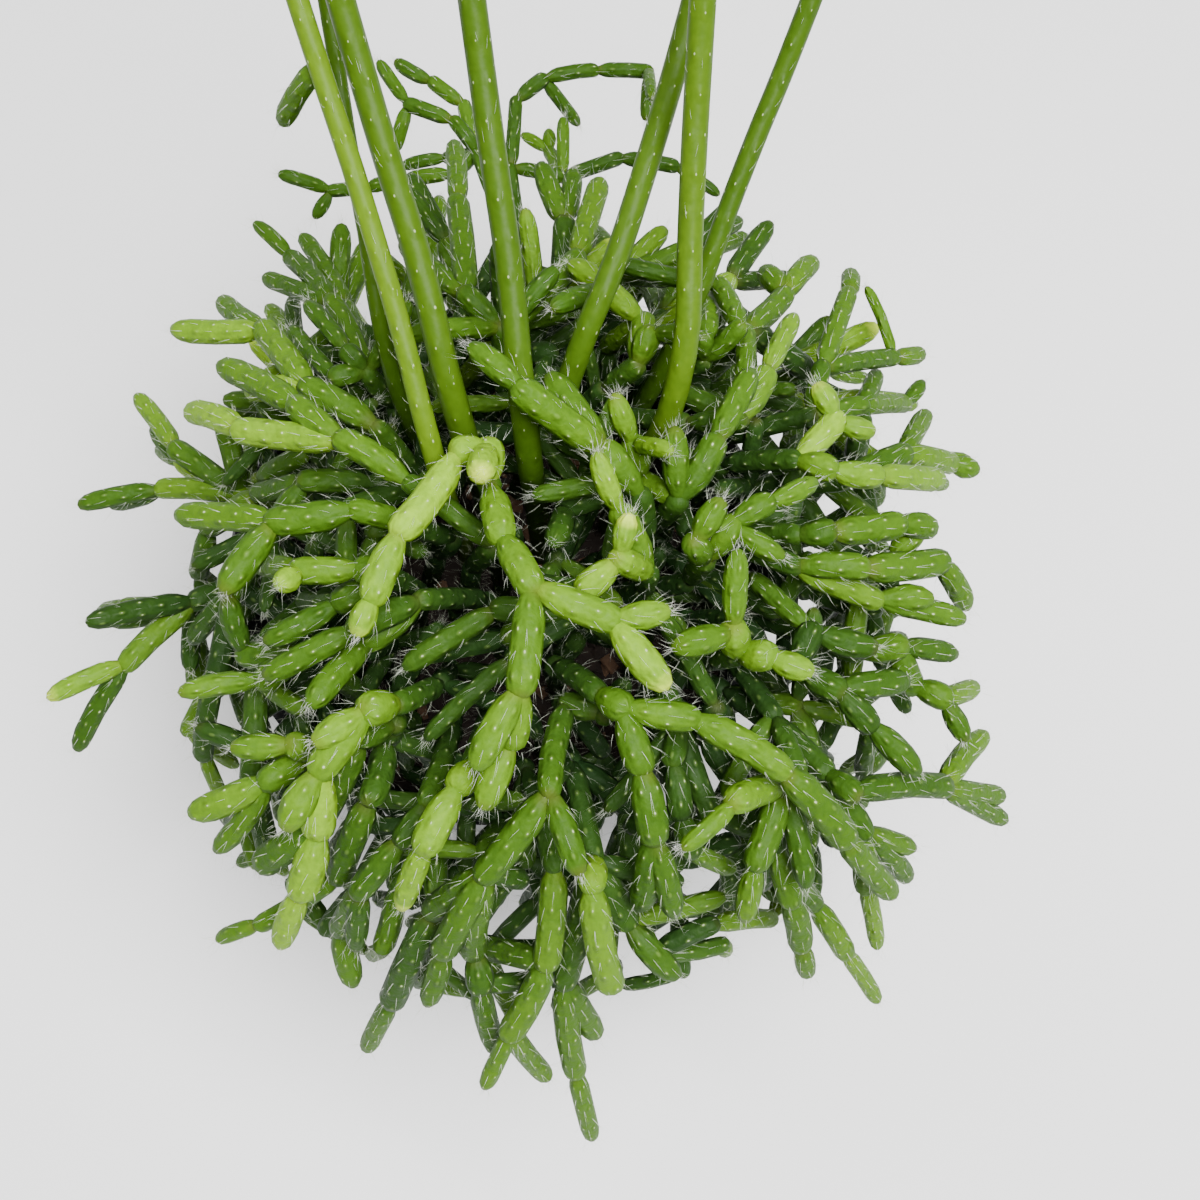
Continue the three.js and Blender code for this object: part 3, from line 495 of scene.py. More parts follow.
def startStem(name, points, radius):
    stem = Stem(name)
    stems.append(stem)
    last = None
    for start, end in zip(points, points[1:]):
        last = Stretch(stem, last, start, end, radius)
        put(last)
        stem.stalk.append(last)
    return stem


def addJoint(parent, end, radius, fresh):
    start = parent.end + unit(parent.start - parent.end) * (joint["sink"] * parent.radius)
    if length(start - end) > joint["longest"] or not isClear(start, end, radius, parent):
        return None
    made = Stretch(parent.stem, parent, start, end, radius, fresh)
    put(made)
    parent.stem.joints.append(made)
    return made


def growShoot(name, diameter, sights):
    seen = [placeAt(*sight) for sight in sights]
    going = unit(seen[-1] - seen[-2])
    for _ in range(shoot["extraSteps"]):
        going = unit(going + up * shoot["lift"])
        seen.append(seen[-1] + going * shoot["extraStep"])
    points = findCourse(seen[0], unit(seen[1] - seen[0]), diameter / 2)
    stem = startStem(name, points + seen[1:], diameter / 2)
    last = stem.stalk[-1]
    ahead = unit(last.end - last.start)
    side = unit(np.cross(ahead, np.array([1.0, 0.0, 0.0])))
    spread, more = shoot["crownSpread"]
    size, longer = shoot["crownLength"]
    for i in range(shoot["crown"]):  # a small crown of joints on the end
        way = unit(ahead + turnAbout(side, ahead, i * golden) * (spread + more * i))
        end = last.end + way * (joint["length"] * (size + longer * i))
        addJoint(last, end, shoot["thinning"] * last.radius, shoot["crownFresh"])


# Moves of a joint's end, in pixels across and down and millimetres back, until it is clear
endMoves = [
    [0, 0, 0], [0, 0, 2], [0, 0, -2], [0, 0, 4], [0, 0, -4], [9, 0, 0], [-9, 0, 0], [0, 9, 0],
    [0, -9, 0], [0, 0, 7], [0, 0, -7], [12, 0, 4], [-12, 0, 4], [0, 12, 4], [0, -12, 4], [0, 0, 10],
    [0, 0, 14],
]
thinnings = [1, 0.88, 0.78]
# The same for a stem's hidden start
startMoves = [
    [0, 0, 0], [0, 0, 4], [18, 0, 2], [-18, 0, 2], [0, 18, 2], [0, -18, 2], [0, 0, 8], [25, 25, 6],
    [-25, 25, 6], [25, -25, 6], [-25, -25, 6], [0, 0, 13], [35, 0, 10], [-35, 0, 10], [0, 35, 10],
    [0, -35, 10], [0, 0, 18], [0, 0, -4],
]


def firstJointFits(goal, sight, radius):
    for move in endMoves:
        end = placeAfter(goal, sight, move)
        if length(goal - end) < joint["longest"] and isClear(goal, end, radius, None):
            return True
    return False


def startSeenStem(name, diameter, start, firstSight):
    radius = min(diameter, stalk["diameter"]) / 2
    for across, lower, back in startMoves:
        x, y = start[0] + across, start[1] + lower
        goal = placeAt(x, y, moundDistance(x, y) - start[2] + back)
        if firstJointFits(goal, firstSight, thinnings[-1] * diameter / 2):
            arrive = unit(placeAfter(goal, firstSight, endMoves[0]) - goal)
            points = findCourse(goal, arrive, radius)
            if points:
                return startStem(name, points, radius)


def addSeenJoint(parent, sight, diameter, fresh):
    for thinning in thinnings:
        for move in endMoves:
            made = addJoint(parent, placeAfter(parent.end, sight, move), thinning * diameter / 2, fresh)
            if made:
                return made


def growSeenStem(name, diameter, start, runs):
    stem = startSeenStem(name, diameter, start, runs[0][2][0])
    ends = [stem.stalk[-1]]
    for first, fresh, sights in runs:
        parent = ends[first]
        for sight in sights:
            parent = parent and addSeenJoint(parent, sight, diameter, fresh)
            ends.append(parent)


lastRoll = dice["seed"]


def chance(low, high):
    global lastRoll
    lastRoll = (lastRoll * dice["times"] + dice["plus"]) % dice["within"]
    return low + (high - low) * (lastRoll / dice["within"])


def sprout(parent):  # a joint that forks off an end, turned aside, and drawn outward and down
    ahead = unit(parent.end - parent.start)
    level, outward = unit(np.cross(ahead, up)), unit(parent.end - mound["place"])
    for _ in range(fork["tries"]):
        aside = turnAbout(level, ahead, chance(0, 2 * math.pi))
        way = ahead + aside * (fork["spread"] * chance(*fork["spreads"]))
        way = unit(way + outward * fork["outward"] - up * fork["droop"])
        end = parent.end + way * (joint["length"] * chance(*joint["lengths"]))
        if length((end - mound["place"]) / mound["size"]) > fork["beyond"]:
            continue
        made = addJoint(parent, end, chance(growth["thinnest"], growth["thickest"]), chance(0, 1))
        if made:
            return made


# Goals of a stem of the far side: how steeply it rises, and its share of the way to the surface
backGoals = [[0.3, 0.62], [0.55, 0.62], [0.15, 0.7], [0.8, 0.55], [0.4, 0.8], [1.2, 0.5], [0.7, 0.8]]


def startBackStem(turn, name):
    for rise, share in backGoals:
        way = unit(np.array([math.cos(turn), math.sin(turn), rise]))
        points = findCourse(way * mound["size"] * share + mound["place"], way, stalk["diameter"] / 2)
        if points:
            return startStem(name, points, stalk["diameter"] / 2)


def growBackStems():
    grown = []
    for i in range(growth["backStems"]):
        stem = startBackStem(math.pi * ((i + 0.5) / growth["backStems"]), f"back_{i + 1}")
        if stem:
            grown.append([stem, [stem.stalk[-1]]])
    for _ in range(fork["levels"]):
        for growing in grown:
            spare = max(fork["most"] - len(growing[0].joints), 0)
            forks = [end for end in growing[1] for _ in range(2)][:spare]
            growing[1] = [made for made in map(sprout, forks) if made]


def shellPlaces(share, count, lowest):
    places = []
    for i in range(count):
        rise = 1 - (1 - lowest) * ((i + 0.5) / count)
        out = math.sqrt(1 - rise * rise)
        way = np.array([out * math.cos(i * golden), out * math.sin(i * golden), rise])
        places.append(way * mound["size"] * share + mound["place"])
    return places


def nearestEnds(ends, place, reach, most):
    near = [(length(s.end - place), s) for s in ends]
    near = sorted([n for n in near if n[0] < reach], key=lambda n: n[0])
    return [end for _, end in near[:most]]


def growTowards(place):
    ends = [s for s in placed if s.fresh is not None or s is s.stem.stalk[-1]]
    ends = [s for s in ends if len(s.stem.joints) < growth["mostOfStem"]]
    ends = [s for s in ends if s.sprouts < filling["mostSprouts"]]
    radius = chance(growth["thinnest"], growth["thickest"])
    reach, fresh = joint["length"] * chance(*joint["lengths"]), chance(0, 1)
    for end in nearestEnds(ends, place, filling["reach"], filling["nearest"]):
        ahead, outward = unit(end.end - end.start), unit(end.end - mound["place"])
        for lean in filling["leans"]:
            way = unit(unit(place - end.end) + outward * filling["outward"] + up * lean)
            if way @ ahead >= filling["leastAhead"] and addJoint(end, end.end + way * reach, radius, fresh):
                end.sprouts += 1
                return


def bareness(places):
    return distances(np.array(places)).min(1)


def fillShell(share, count, lowest, front):
    for _ in range(filling["rounds"]):
        places = shellPlaces(share, count, lowest)
        bare = [(gap, place) for gap, place in zip(bareness(places), places)]
        bare = [b for b in bare if b[1][1] > front and b[0] > filling["bare"]]
        for _, place in sorted(bare, key=lambda b: -b[0]):
            if sum(len(stem.joints) for stem in stems) >= growth["joints"]:
                return
            if bareness([place])[0] > filling["bare"]:
                growTowards(place)


for sights in shootSights:
    growShoot(*sights)
for sights in stemSights:
    growSeenStem(*sights)
growBackStems()
for shell in filling["shells"]:
    fillShell(*shell)
stems = [stem for stem in stems if stem.joints]

# Small twigs beside the larger stems: the pixel where each starts, its diameter, and its sights
twig = {
    "fresh": 0.55, "nearest": 8,
    "sights": [
        [[357, 895], 3.4, [[302, 901, 0], [257, 926, 0], [219, 939, 0]]],
        [[317, 60], 3.6, [[283, 122, 0]]],
        [[890, 360], 2.6, [[858, 288, 0]]],
        [[655, 72], 2.6, [[652, 98, 0]]],
        [[740, 800], 3.2, [[684, 848, 0]]],
    ],
}
# Small joints that fill the inside of the mound, in its shade
inner = {
    "layers": [(0.45, 160), (0.58, 240), (0.7, 320), (0.8, 380)],  # share of the mound, places
    "lowest": -0.12, "rounds": 3, "most": 520, "mostSprouts": 3, "nearest": 9, "reach": 32,
    "within": 0.85, "bare": 4.0, "thinnest": 1.6, "thickest": 2.2, "lengths": (0.7, 1.1), "freshest": 0.6,
}


def pixelOf(place):
    away = place - eyePlace
    depth = away @ eyeAhead
    return (
        eye["middle"] + eye["focal"] * away[0] / depth,
        eye["middle"] - eye["focal"] * (away @ eyeUp) / depth,
    )


def lengthsOf(leftOut):  # all that a joint can grow from, but for the stems that are left out
    return [s for stem in stems if not stem.name.startswith(leftOut) for s in stem.stalk[1:] + stem.joints]


def growTwig(start, diameter, sights):
    grown = sorted(lengthsOf("back_"), key=lambda s: apart(pixelOf(s.end), start))
    firsts = (addSeenJoint(s, sights[0], diameter, twig["fresh"]) for s in grown[:twig["nearest"]])
    last = next(filter(None, firsts), None)
    for sight in sights[1:]:
        last = last and addSeenJoint(last, sight, diameter, twig["fresh"])


def growInner(place):
    ends = [s for s in growable if s.sprouts < inner["mostSprouts"]]
    radius = chance(inner["thinnest"], inner["thickest"])
    reach, fresh = joint["length"] * chance(*inner["lengths"]), chance(0, inner["freshest"])
    for end in nearestEnds(ends, place, inner["reach"], inner["nearest"]):
        far = end.end + unit(place - end.end) * reach
        inside = length((far - mound["place"]) / mound["size"]) < inner["within"]
        if inside and (far - end.end) @ (end.end - end.start) > 0 and addJoint(end, far, radius, fresh):
            end.sprouts += 1
            growable.append(placed[-1])
            return 1
    return 0


for sights in twig["sights"]:
    growTwig(*sights)
growable, grownInside = lengthsOf("shoot_"), 0
for share, count in inner["layers"]:
    for _ in range(inner["rounds"]):
        for place in shellPlaces(share, count, inner["lowest"]):
            if grownInside < inner["most"] and bareness([place])[0] > inner["bare"]:
                grownInside += growInner(place)

rng = np.random.default_rng(11)  # chance for the looks, the same each time


class Link:  # a shader socket, so that shader maths is written as maths
    def __init__(self, finish, socket):
        self.finish, self.socket = finish, socket

    def maths(self, operation, a, b):
        return self.finish.node("ShaderNodeMath", {"operation": operation}, {0: a, 1: b})

    def __add__(self, other):
        return self.maths("ADD", self, other)

    def __sub__(self, other):
        return self.maths("SUBTRACT", self, other)

    def __rsub__(self, other):
        return self.maths("SUBTRACT", other, self)

    def __mul__(self, other):
        return self.maths("MULTIPLY", self, other)

    __radd__, __rmul__ = __add__, __mul__


class Finish:  # a material made of nodes
    def __init__(self, name):
        self.material = bpy.data.materials.new(name)
        self.material.use_nodes = True
        self.tree = self.material.node_tree
        self.tree.nodes.clear()

    def node(self, kind, settings, values, output=0):
        node = self.tree.nodes.new(kind)
        for key, value in settings.items():
            if key == "stops":
                ramp = node.color_ramp
                while len(ramp.elements) < len(value):
                    ramp.elements.new(0.5)
                for element, (place, colour) in zip(ramp.elements, value):
                    element.position, element.color = place, (*colour, 1)
            else:
                setattr(node, key, value)
        for key, value in values.items():
            socket = node.inputs[key]
            if isinstance(value, Link):
                self.tree.links.new(value.socket, socket)
            elif isinstance(value, tuple) and len(value) == 3 and socket.type == "RGBA":
                socket.default_value = (*value, 1)
            else:
                socket.default_value = value
        return Link(self, node.outputs[output]) if node.outputs else None

    def objectPlace(self):
        return self.node("ShaderNodeTexCoord", {}, {}, "Object")

    def attribute(self, name):
        return self.node("ShaderNodeAttribute", {"attribute_name": name}, {}, "Fac")

    def noise(self, place, scale, detail):
        values = {"Vector": place, "Scale": scale, "Detail": detail}
        return self.node("ShaderNodeTexNoise", {}, values, "Fac")

    def fade(self, value, low, high):  # 0 at low, 1 at high, smooth between
        settings = {"interpolation_type": "SMOOTHSTEP"}
        return self.node("ShaderNodeMapRange", settings, {"Value": value, "From Min": low, "From Max": high})

    def ramp(self, value, stops):
        return self.node("ShaderNodeValToRGB", {"stops": stops}, {"Fac": value})

    def mix(self, share, a, b):
        return self.node("ShaderNodeMix", {"data_type": "RGBA"}, {0: share, 6: a, 7: b}, 2)

    def cover(self, under, look, amount):  # a look is a colour and how much of it covers
        return self.mix(amount * look[1], under, look[0])

    def bump(self, height, strength, distance):
        values = {"Height": height, "Strength": strength, "Distance": distance}
        return self.node("ShaderNodeBump", {}, values, "Normal")

    def areoles(self, rows, stretch):  # how far round, and how far from the nearest areole
        uv = self.node("ShaderNodeUVMap", {"uv_map": "areoles"}, {})
        across = self.node("ShaderNodeSeparateXYZ", {}, {"Vector": uv}, "X")
        along = self.node("ShaderNodeSeparateXYZ", {}, {"Vector": uv}, "Y") * rows
        row = self.node("ShaderNodeMath", {"operation": "ROUND"}, {0: along})
        odd = self.node("ShaderNodeMath", {"operation": "FLOORED_MODULO"}, {0: row, 1: 2.0})
        aside = self.node("ShaderNodeMath", {"operation": "FRACT"}, {0: across + odd * 0.5 + 0.5}) - 0.5
        ahead = (along - row) * stretch
        return across, self.node("ShaderNodeMath", {"operation": "SQRT"}, {0: aside * aside + ahead * ahead})

    def skin(self, **values):
        named = {key.replace("_", " "): value for key, value in values.items()}
        shader = self.node("ShaderNodeBsdfPrincipled", {}, named, "BSDF")
        self.node("ShaderNodeOutputMaterial", {}, {"Surface": shader})
        return self.material


# Skin of the short joints. The areoles are felt dots in staggered rows on the joint's own map: one
# row to a unit along it, one dot to a unit around it. A share says how much of a colour covers.
jointLook = {
    "greens": [
        (0.0, (0.016, 0.044, 0.004)), (0.25, (0.032, 0.082, 0.005)), (0.5, (0.060, 0.138, 0.006)),
        (0.75, (0.115, 0.235, 0.008)), (1.0, (0.230, 0.410, 0.014)),
    ],
    "shade": ((0.010, 0.028, 0.009), 0.85), "cork": ((0.120, 0.085, 0.022), 0.45),
    "halo": ((0.30, 0.46, 0.10), 0.14), "tip": ((0.60, 0.76, 0.06), 0.85),
    "felt": ((0.60, 0.70, 0.40), 0.7),
    "dot": 0.05, "haloSize": 3.4, "swelling": 7.0,  # an areole's radius, and the rest in radii
    "rowStep": 3.3, "stretch": 0.8, "around": 5, "aroundThin": 4, "thin": 2,
    "wobbleScale": 1600.0, "mottleScale": 900.0, "bareScale": 260.0, "patchScale": 130.0,
    "dotEdge": (0.4, 1.3), "wobble": 0.09, "bareFrom": (0.30, 0.50), "corkFrom": (0.42, 0.62),
    "tipFrom": (0.45, 1.0), "tipUneven": 0.25, "feltShade": 0.45,
    "uneven": 0.22, "roughness": 0.44, "rougher": (0.16, 0.3), "bump": (0.8, 0.00034),
    "ribs": 2, "heights": (0.9, 0.07, 0.8, 0.6),  # of the mottle, the ribs, the swelling and the dot
    "toneShare": 0.85, "toneLift": 0.04, "toneSpread": 0.12,
    # Joints hanging between these heights are slimmer and lifted in tone: fresher olive skin, and painted
    # light on the low joints
    "hangs": (92, 67), "hangingToneAndPaintedLight": 0.2, "hangingSlimmer": 0.2,  # between these heights
    "stalkFresh": 0.2, "glowsAbove": 0.82, "glows": (0.5, 1), "dimGlow": 0.7,
}
shootLook = {
    "greens": [(0.0, (0.022, 0.060, 0.003)), (0.5, (0.056, 0.116, 0.004)), (1.0, (0.120, 0.215, 0.007))],
    "shade": ((0.010, 0.028, 0.009), 0.5), "scar": ((0.50, 0.58, 0.30), 0.6),
    "dot": 0.065, "dotStart": 0.3, "wobble": 0.12, "rows": 0.6, "stretch": 1.4,
    "fineScale": 700.0, "patchScale": 60.0, "fineShare": 0.25, "patchShare": 0.2,
    "roughness": 0.34, "rougher": 0.14, "bump": (0.5, 0.0003), "fineHeight": 0.5, "swelling": 0.4,
}
gloss = 0.09  # of the plant's waxy skin


def makeJointSkin():
    look = jointLook
    f = Finish("jointSkin")
    place = f.objectPlace()
    across, off = f.areoles(1.0, look["stretch"])
    wobble, mottle = f.noise(place, look["wobbleScale"], 1.0), f.noise(place, look["mottleScale"], 2.0)
    patch, body, shade = f.noise(place, look["patchScale"], 1.0), f.attribute("body"), f.attribute("shade")
    start, end = look["dotEdge"]
    dot = 1 - f.fade(off + (wobble - 0.5) * look["wobble"], look["dot"] * start, look["dot"] * end)
    dot = dot * body * f.fade(f.noise(place, look["bareScale"], 0.0), *look["bareFrom"])
    uneven = (mottle - 0.5) * look["uneven"] + (patch - 0.5) * look["uneven"]
    green = f.ramp(f.attribute("fresh") + uneven, look["greens"])
    green = f.cover(green, look["cork"], (1 - body) * f.fade(patch, *look["corkFrom"]))
    green = f.cover(green, look["shade"], shade)
    halo = 1 - f.fade(off, look["dot"], look["dot"] * look["haloSize"])
    green = f.cover(green, look["halo"], halo * body)
    tip = f.attribute("tip") + (mottle - 0.5) * look["tipUneven"]
    green = f.cover(green, look["tip"], f.fade(tip, *look["tipFrom"]))
    green = f.mix(dot * (look["felt"][1] - shade * look["feltShade"]), green, look["felt"][0])
    waves = across * (look["ribs"] * 2 * math.pi)
    ribs = f.node("ShaderNodeMath", {"operation": "COSINE"}, {0: waves}) * body
    swelling = f.fade(off, look["dot"] * look["swelling"], 0.0) * body
    byMottle, byRibs, bySwelling, byDot = look["heights"]
    height = mottle * byMottle + ribs * byRibs + swelling * bySwelling + dot * wobble * byDot
    byMottle, byDot = look["rougher"]
    return f.skin(
        Base_Color=green, Roughness=look["roughness"] + mottle * byMottle + dot * byDot,
        Normal=f.bump(height, *look["bump"]), Specular_IOR_Level=gloss,
    )


def makeShootSkin():
    look = shootLook
    f = Finish("shootSkin")
    place = f.objectPlace()
    off = f.areoles(look["rows"], look["stretch"])[1]
    fine, patch = f.noise(place, look["fineScale"], 2.0), f.noise(place, look["patchScale"], 1.0)
    uneven = (fine - 0.5) * look["fineShare"] + (patch - 0.5) * look["patchShare"]
    green = f.ramp(f.attribute("fresh") + uneven, look["greens"])
    wobble = (fine - 0.5) * look["wobble"]
    scar = 1 - f.fade(off + wobble, look["dot"] * look["dotStart"], look["dot"])
    green = f.cover(green, look["scar"], scar)
    green = f.cover(green, look["shade"], f.attribute("shade"))
    height = fine * look["fineHeight"] + patch + f.fade(off, look["swelling"], 0.0)
    return f.skin(
        Base_Color=green, Roughness=look["roughness"] + fine * look["rougher"],
        Normal=f.bump(height, *look["bump"]), Specular_IOR_Level=gloss,
    )


bristle = {
    "whites": [(0.0, (0.50, 0.54, 0.42)), (1.0, (0.86, 0.88, 0.80))], "shade": ((0.16, 0.19, 0.11), 0.7),
    "grainScale": 240.0, "roughness": 0.6,
    "thick": 0.020, "shortest": 1.0, "longest": 2.8, "bend": 0.45, "perAreole": (1, 3),
    "firstAt": 0.8, "lastPast": 0.1, "tuftPast": 0.05,  # in radii, from a joint's start or end
    "turns": 0.06, "shifts": 0.15, "leans": (0.5, 1.6), "strays": 0.35, "rootedAt": 0.96,
    "tuft": 22, "wool": 7, "tuftSpread": 0.45, "woolSpread": 1.2, "tuftLongest": 2.9,
    "perShootLength": 0.7, "shootLengths": (0.8, 1.8), "shootStrays": 0.3,
    "shootLean": 0.6, "shootRootedAt": 0.95,
}


def makeBristle():
    f = Finish("whiteBristle")
    white = f.ramp(f.noise(f.objectPlace(), bristle["grainScale"], 1.0), bristle["whites"])
    white = f.cover(white, bristle["shade"], f.attribute("shade"))
    return f.skin(Base_Color=white, Roughness=bristle["roughness"])


soilLook = {
    "earth": [(0.0, (0.006, 0.004, 0.003)), (0.55, (0.020, 0.012, 0.008)), (1.0, (0.055, 0.033, 0.020))],
    "bark": [(0.0, (0.035, 0.018, 0.010)), (0.5, (0.110, 0.058, 0.030)), (1.0, (0.240, 0.140, 0.075))],
    "earthScale": 420.0, "barkScale": 650.0, "grain": (0.7, 6.0), "clump": (0.3, 3.0),  # share, detail
    "clumpScale": 0.2, "roughness": 0.85, "rougher": 0.1, "bump": (0.8, 0.0004),
    "lumpHeight": 1.4, "lumpScale": 0.16, "lumps": (0.7, 2.1, 4), "lumpsFade": 8,
    "rings": 16, "sides": 72, "sunk": 0.4, "edgeDepth": 1.5,
    "crumbs": 420, "crumbSizes": (0.5, 1.5), "crumbRadii": (0.75, 1.15),
    "chips": 60, "chipSizes": (0.9, 2.4), "chipShape": (1.6, 0.8, 0.32), "chipBevel": 0.14,
    "chipStrays": (0.2, 0.15),
    "tilts": 0.5, "stretches": (0.7, 1.3), "crumbMargin": 3, "chipMargin": 5,
}


def makeEarth(name, stops, scale):
    look = soilLook
    f = Finish(name)
    place = f.objectPlace()
    byGrain, fine = look["grain"]
    byClump, coarse = look["clump"]
    grain, clump = f.noise(place, scale, fine), f.noise(place, scale * look["clumpScale"], coarse)
    return f.skin(
        Base_Color=f.ramp(grain * byGrain + clump * byClump, stops),
        Roughness=look["roughness"] + grain * look["rougher"], Normal=f.bump(grain, *look["bump"]),
    )


potLook = {
    "black": [(0.0, (0.004, 0.004, 0.005)), (1.0, (0.010, 0.010, 0.012))], "dust": (0.060, 0.050, 0.038),
    "dustShare": 0.12, "dustFrom": (0.55, 0.78), "grainScale": 2200.0, "smearScale": 38.0,
    "roughness": 0.30, "rougher": 0.20, "bump": (0.25, 0.00008), "gloss": 0.3,
}


def makePotPlastic():
    look = potLook
    f = Finish("blackPotPlastic")
    place = f.objectPlace()
    grain, smear = f.noise(place, look["grainScale"], 2.0), f.noise(place, look["smearScale"], 4.0)
    dust = f.fade(smear, *look["dustFrom"]) * look["dustShare"]
    return f.skin(
        Base_Color=f.mix(dust, f.ramp(smear, look["black"]), look["dust"]),
        Roughness=look["roughness"] + smear * look["rougher"] + dust,
        Normal=f.bump(grain, *look["bump"]), Specular_IOR_Level=look["gloss"],
    )


jointSkin, shootSkin, bristleWhite = makeJointSkin(), makeShootSkin(), makeBristle()
earth = makeEarth("darkEarth", soilLook["earth"], soilLook["earthScale"])
bark = makeEarth("brownBark", soilLook["bark"], soilLook["barkScale"])
potPlastic = makePotPlastic()
print("finishes made")


def selectOnly(piece):
    bpy.ops.object.select_all(action="DESELECT")
    piece.select_set(True)
    bpy.context.view_layer.objects.active = piece


# A round shape from rings, each a height and a radius, closed by a point at its start and end
def growRings(sides, profile, start, end):
    height, radius = profile[0]
    bpy.ops.mesh.primitive_circle_add(vertices=sides, radius=radius, location=(0, 0, height))
    shape = bpy.context.object
    bpy.ops.object.mode_set(mode="EDIT")
    bpy.ops.mesh.extrude_region_move(TRANSFORM_OT_translate={"value": (0, 0, start - height)})
    bpy.ops.mesh.merge(type="CENTER")
    bpy.ops.mesh.select_all(action="DESELECT")
    bpy.ops.object.mode_set(mode="OBJECT")
    for vertex in shape.data.vertices[:sides]:
        vertex.select = True
    bpy.ops.object.mode_set(mode="EDIT")
    for higher, wider in profile[1:]:
        bpy.ops.mesh.extrude_region_move(TRANSFORM_OT_translate={"value": (0, 0, higher - height)})
        bpy.ops.transform.resize(value=(wider / radius, wider / radius, 1))
        height, radius = higher, wider
    bpy.ops.mesh.extrude_region_move(TRANSFORM_OT_translate={"value": (0, 0, end - height)})
    bpy.ops.mesh.merge(type="CENTER")
    bpy.ops.mesh.select_all(action="SELECT")
    bpy.ops.mesh.normals_make_consistent(inside=False)
    bpy.ops.object.mode_set(mode="OBJECT")
    bpy.ops.object.transform_apply()
    return shape


class Master:  # a modelled shape taken apart into its places and faces, to be copied along a stem
    def __init__(self, shape):
        flat = np.empty(len(shape.data.vertices) * 3)
        shape.data.vertices.foreach_get("co", flat)
        self.places = flat.reshape(-1, 3)
        self.faces = [tuple(face.vertices) for face in shape.data.polygons]
        self.levels, self.level = np.unique(self.places[:, 2].round(4), return_inverse=True)
        turn = (np.arctan2(self.places[:, 1], self.places[:, 0]) / (2 * math.pi)) % 1
        onAxis = np.hypot(self.places[:, 0], self.places[:, 1]) < 1e-5
        turns = []  # how far round each corner of each face is, without a jump at the seam
        for face in self.faces:
            rim = [turn[v] for v in face if not onAxis[v]]
            wraps = max(rim) - min(rim) > 0.5
            rim = [t + 1 if wraps and t < 0.5 else t for t in rim]
            middle = sum(rim) / len(rim)
            turns += [middle if onAxis[v] else turn[v] + (1 if wraps and turn[v] < 0.5 else 0) for v in face]
        self.turns = np.array(turns)
        self.corners = np.array([v for face in self.faces for v in face])
        bpy.data.objects.remove(shape)


# One joint, modelled standing up with a radius of 1. Below 0 and above 1 its rings belong to the
# rounded ends, which keep their shape however long the joint is.
jointShape = {
    "sides": 10,
    "rings": [
        (-0.92, 0.42), (-0.62, 0.62), (-0.32, 0.86), (0.0, 0.98), (0.55, 1.0), (1.0, 1.0),
        (1.55, 0.86), (1.92, 0.50),
    ],
    "startTip": -1.1, "endTip": 2.05,
    "startCap": 2.0, "endCap": 1.0, "lastEndCap": 1.6,  # how long the ends are, in radii
    "startsAt": 1.9, "endsPast": 0.3, "endShare": 1.05, "shortestSpan": 3.6,  # also in radii
    "bodyFrom": (-1, -0.3), "bodyTo": (2.15, 1.65), "tipFrom": (-3.6, -0.4),
    "bows": (0.01, 0.04), "tapers": (0.90, 1.0), "widths": (0.94, 1.02), "lastWidths": (0.78, 1.0),
}
tubeShape = {"sides": 16, "rings": 36, "margin": 0.002, "endRadius": 0.7, "tip": 0.0005}
needleShape = {"sides": 3, "rings": [(0.02, 1.0), (0.5, 0.75)]}
shadeReach = {"deepest": 0.60, "outermost": 1.02}  # shares of the mound: darkest skin, and full skin


def modelJoint():
    shape = jointShape
    return growRings(shape["sides"], shape["rings"], shape["startTip"], shape["endTip"])


def modelTube():
    margin, end, tip = tubeShape["margin"], tubeShape["endRadius"], tubeShape["tip"]
    last = tubeShape["rings"] - 1
    steps = [(i / last * (1 - 2 * margin) + margin, 1.0) for i in range(last + 1)]
    return growRings(tubeShape["sides"], [(0.0, end), *steps, (1.0, end)], -tip, 1 + tip)


jointMaster, shootMaster = Master(modelJoint()), Master(modelTube())
needleMaster = Master(growRings(needleShape["sides"], needleShape["rings"], 0.0, 1.0))
print("masters modelled")


def rising(values, start, end):  # 0 at start, 1 at end, in a straight line between
    return np.clip((values - start) / (end - start), 0, 1)


def depthShade(places):
    share = np.sqrt((((places - mound["place"]) / mound["size"]) ** 2).sum(-1))
    return 1 - rising(share, shadeReach["deepest"], shadeReach["outermost"])


def crossAxes(ahead):
    side = unit(np.cross(ahead, up if abs(ahead[2]) < 0.9 else np.array([1.0, 0.0, 0.0])))
    return side, np.cross(ahead, side)


class Patch:  # what one copy adds to a piece
    def __init__(self, master, places, along, around, material, **values):
        self.faces, self.places, self.material = master.faces, places, material
        self.map = np.stack([master.turns * around, along[master.corners]], 1)
        self.values = values


def declare(piece, replaced):
    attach(piece, "root")
    if replaced:
        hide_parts(*replaced)
    return piece


def finishPiece(piece, name, material, replaced=()):
    piece.name = piece.data.name = name
    piece.data.materials.clear()
    piece.data.materials.append(material)
    bpy.ops.object.select_all(action="DESELECT")
    return declare(piece, replaced)


def crossing(master, side, over):  # the master's places laid across a line
    return side * master.places[:, :1] + over * master.places[:, 1:2]


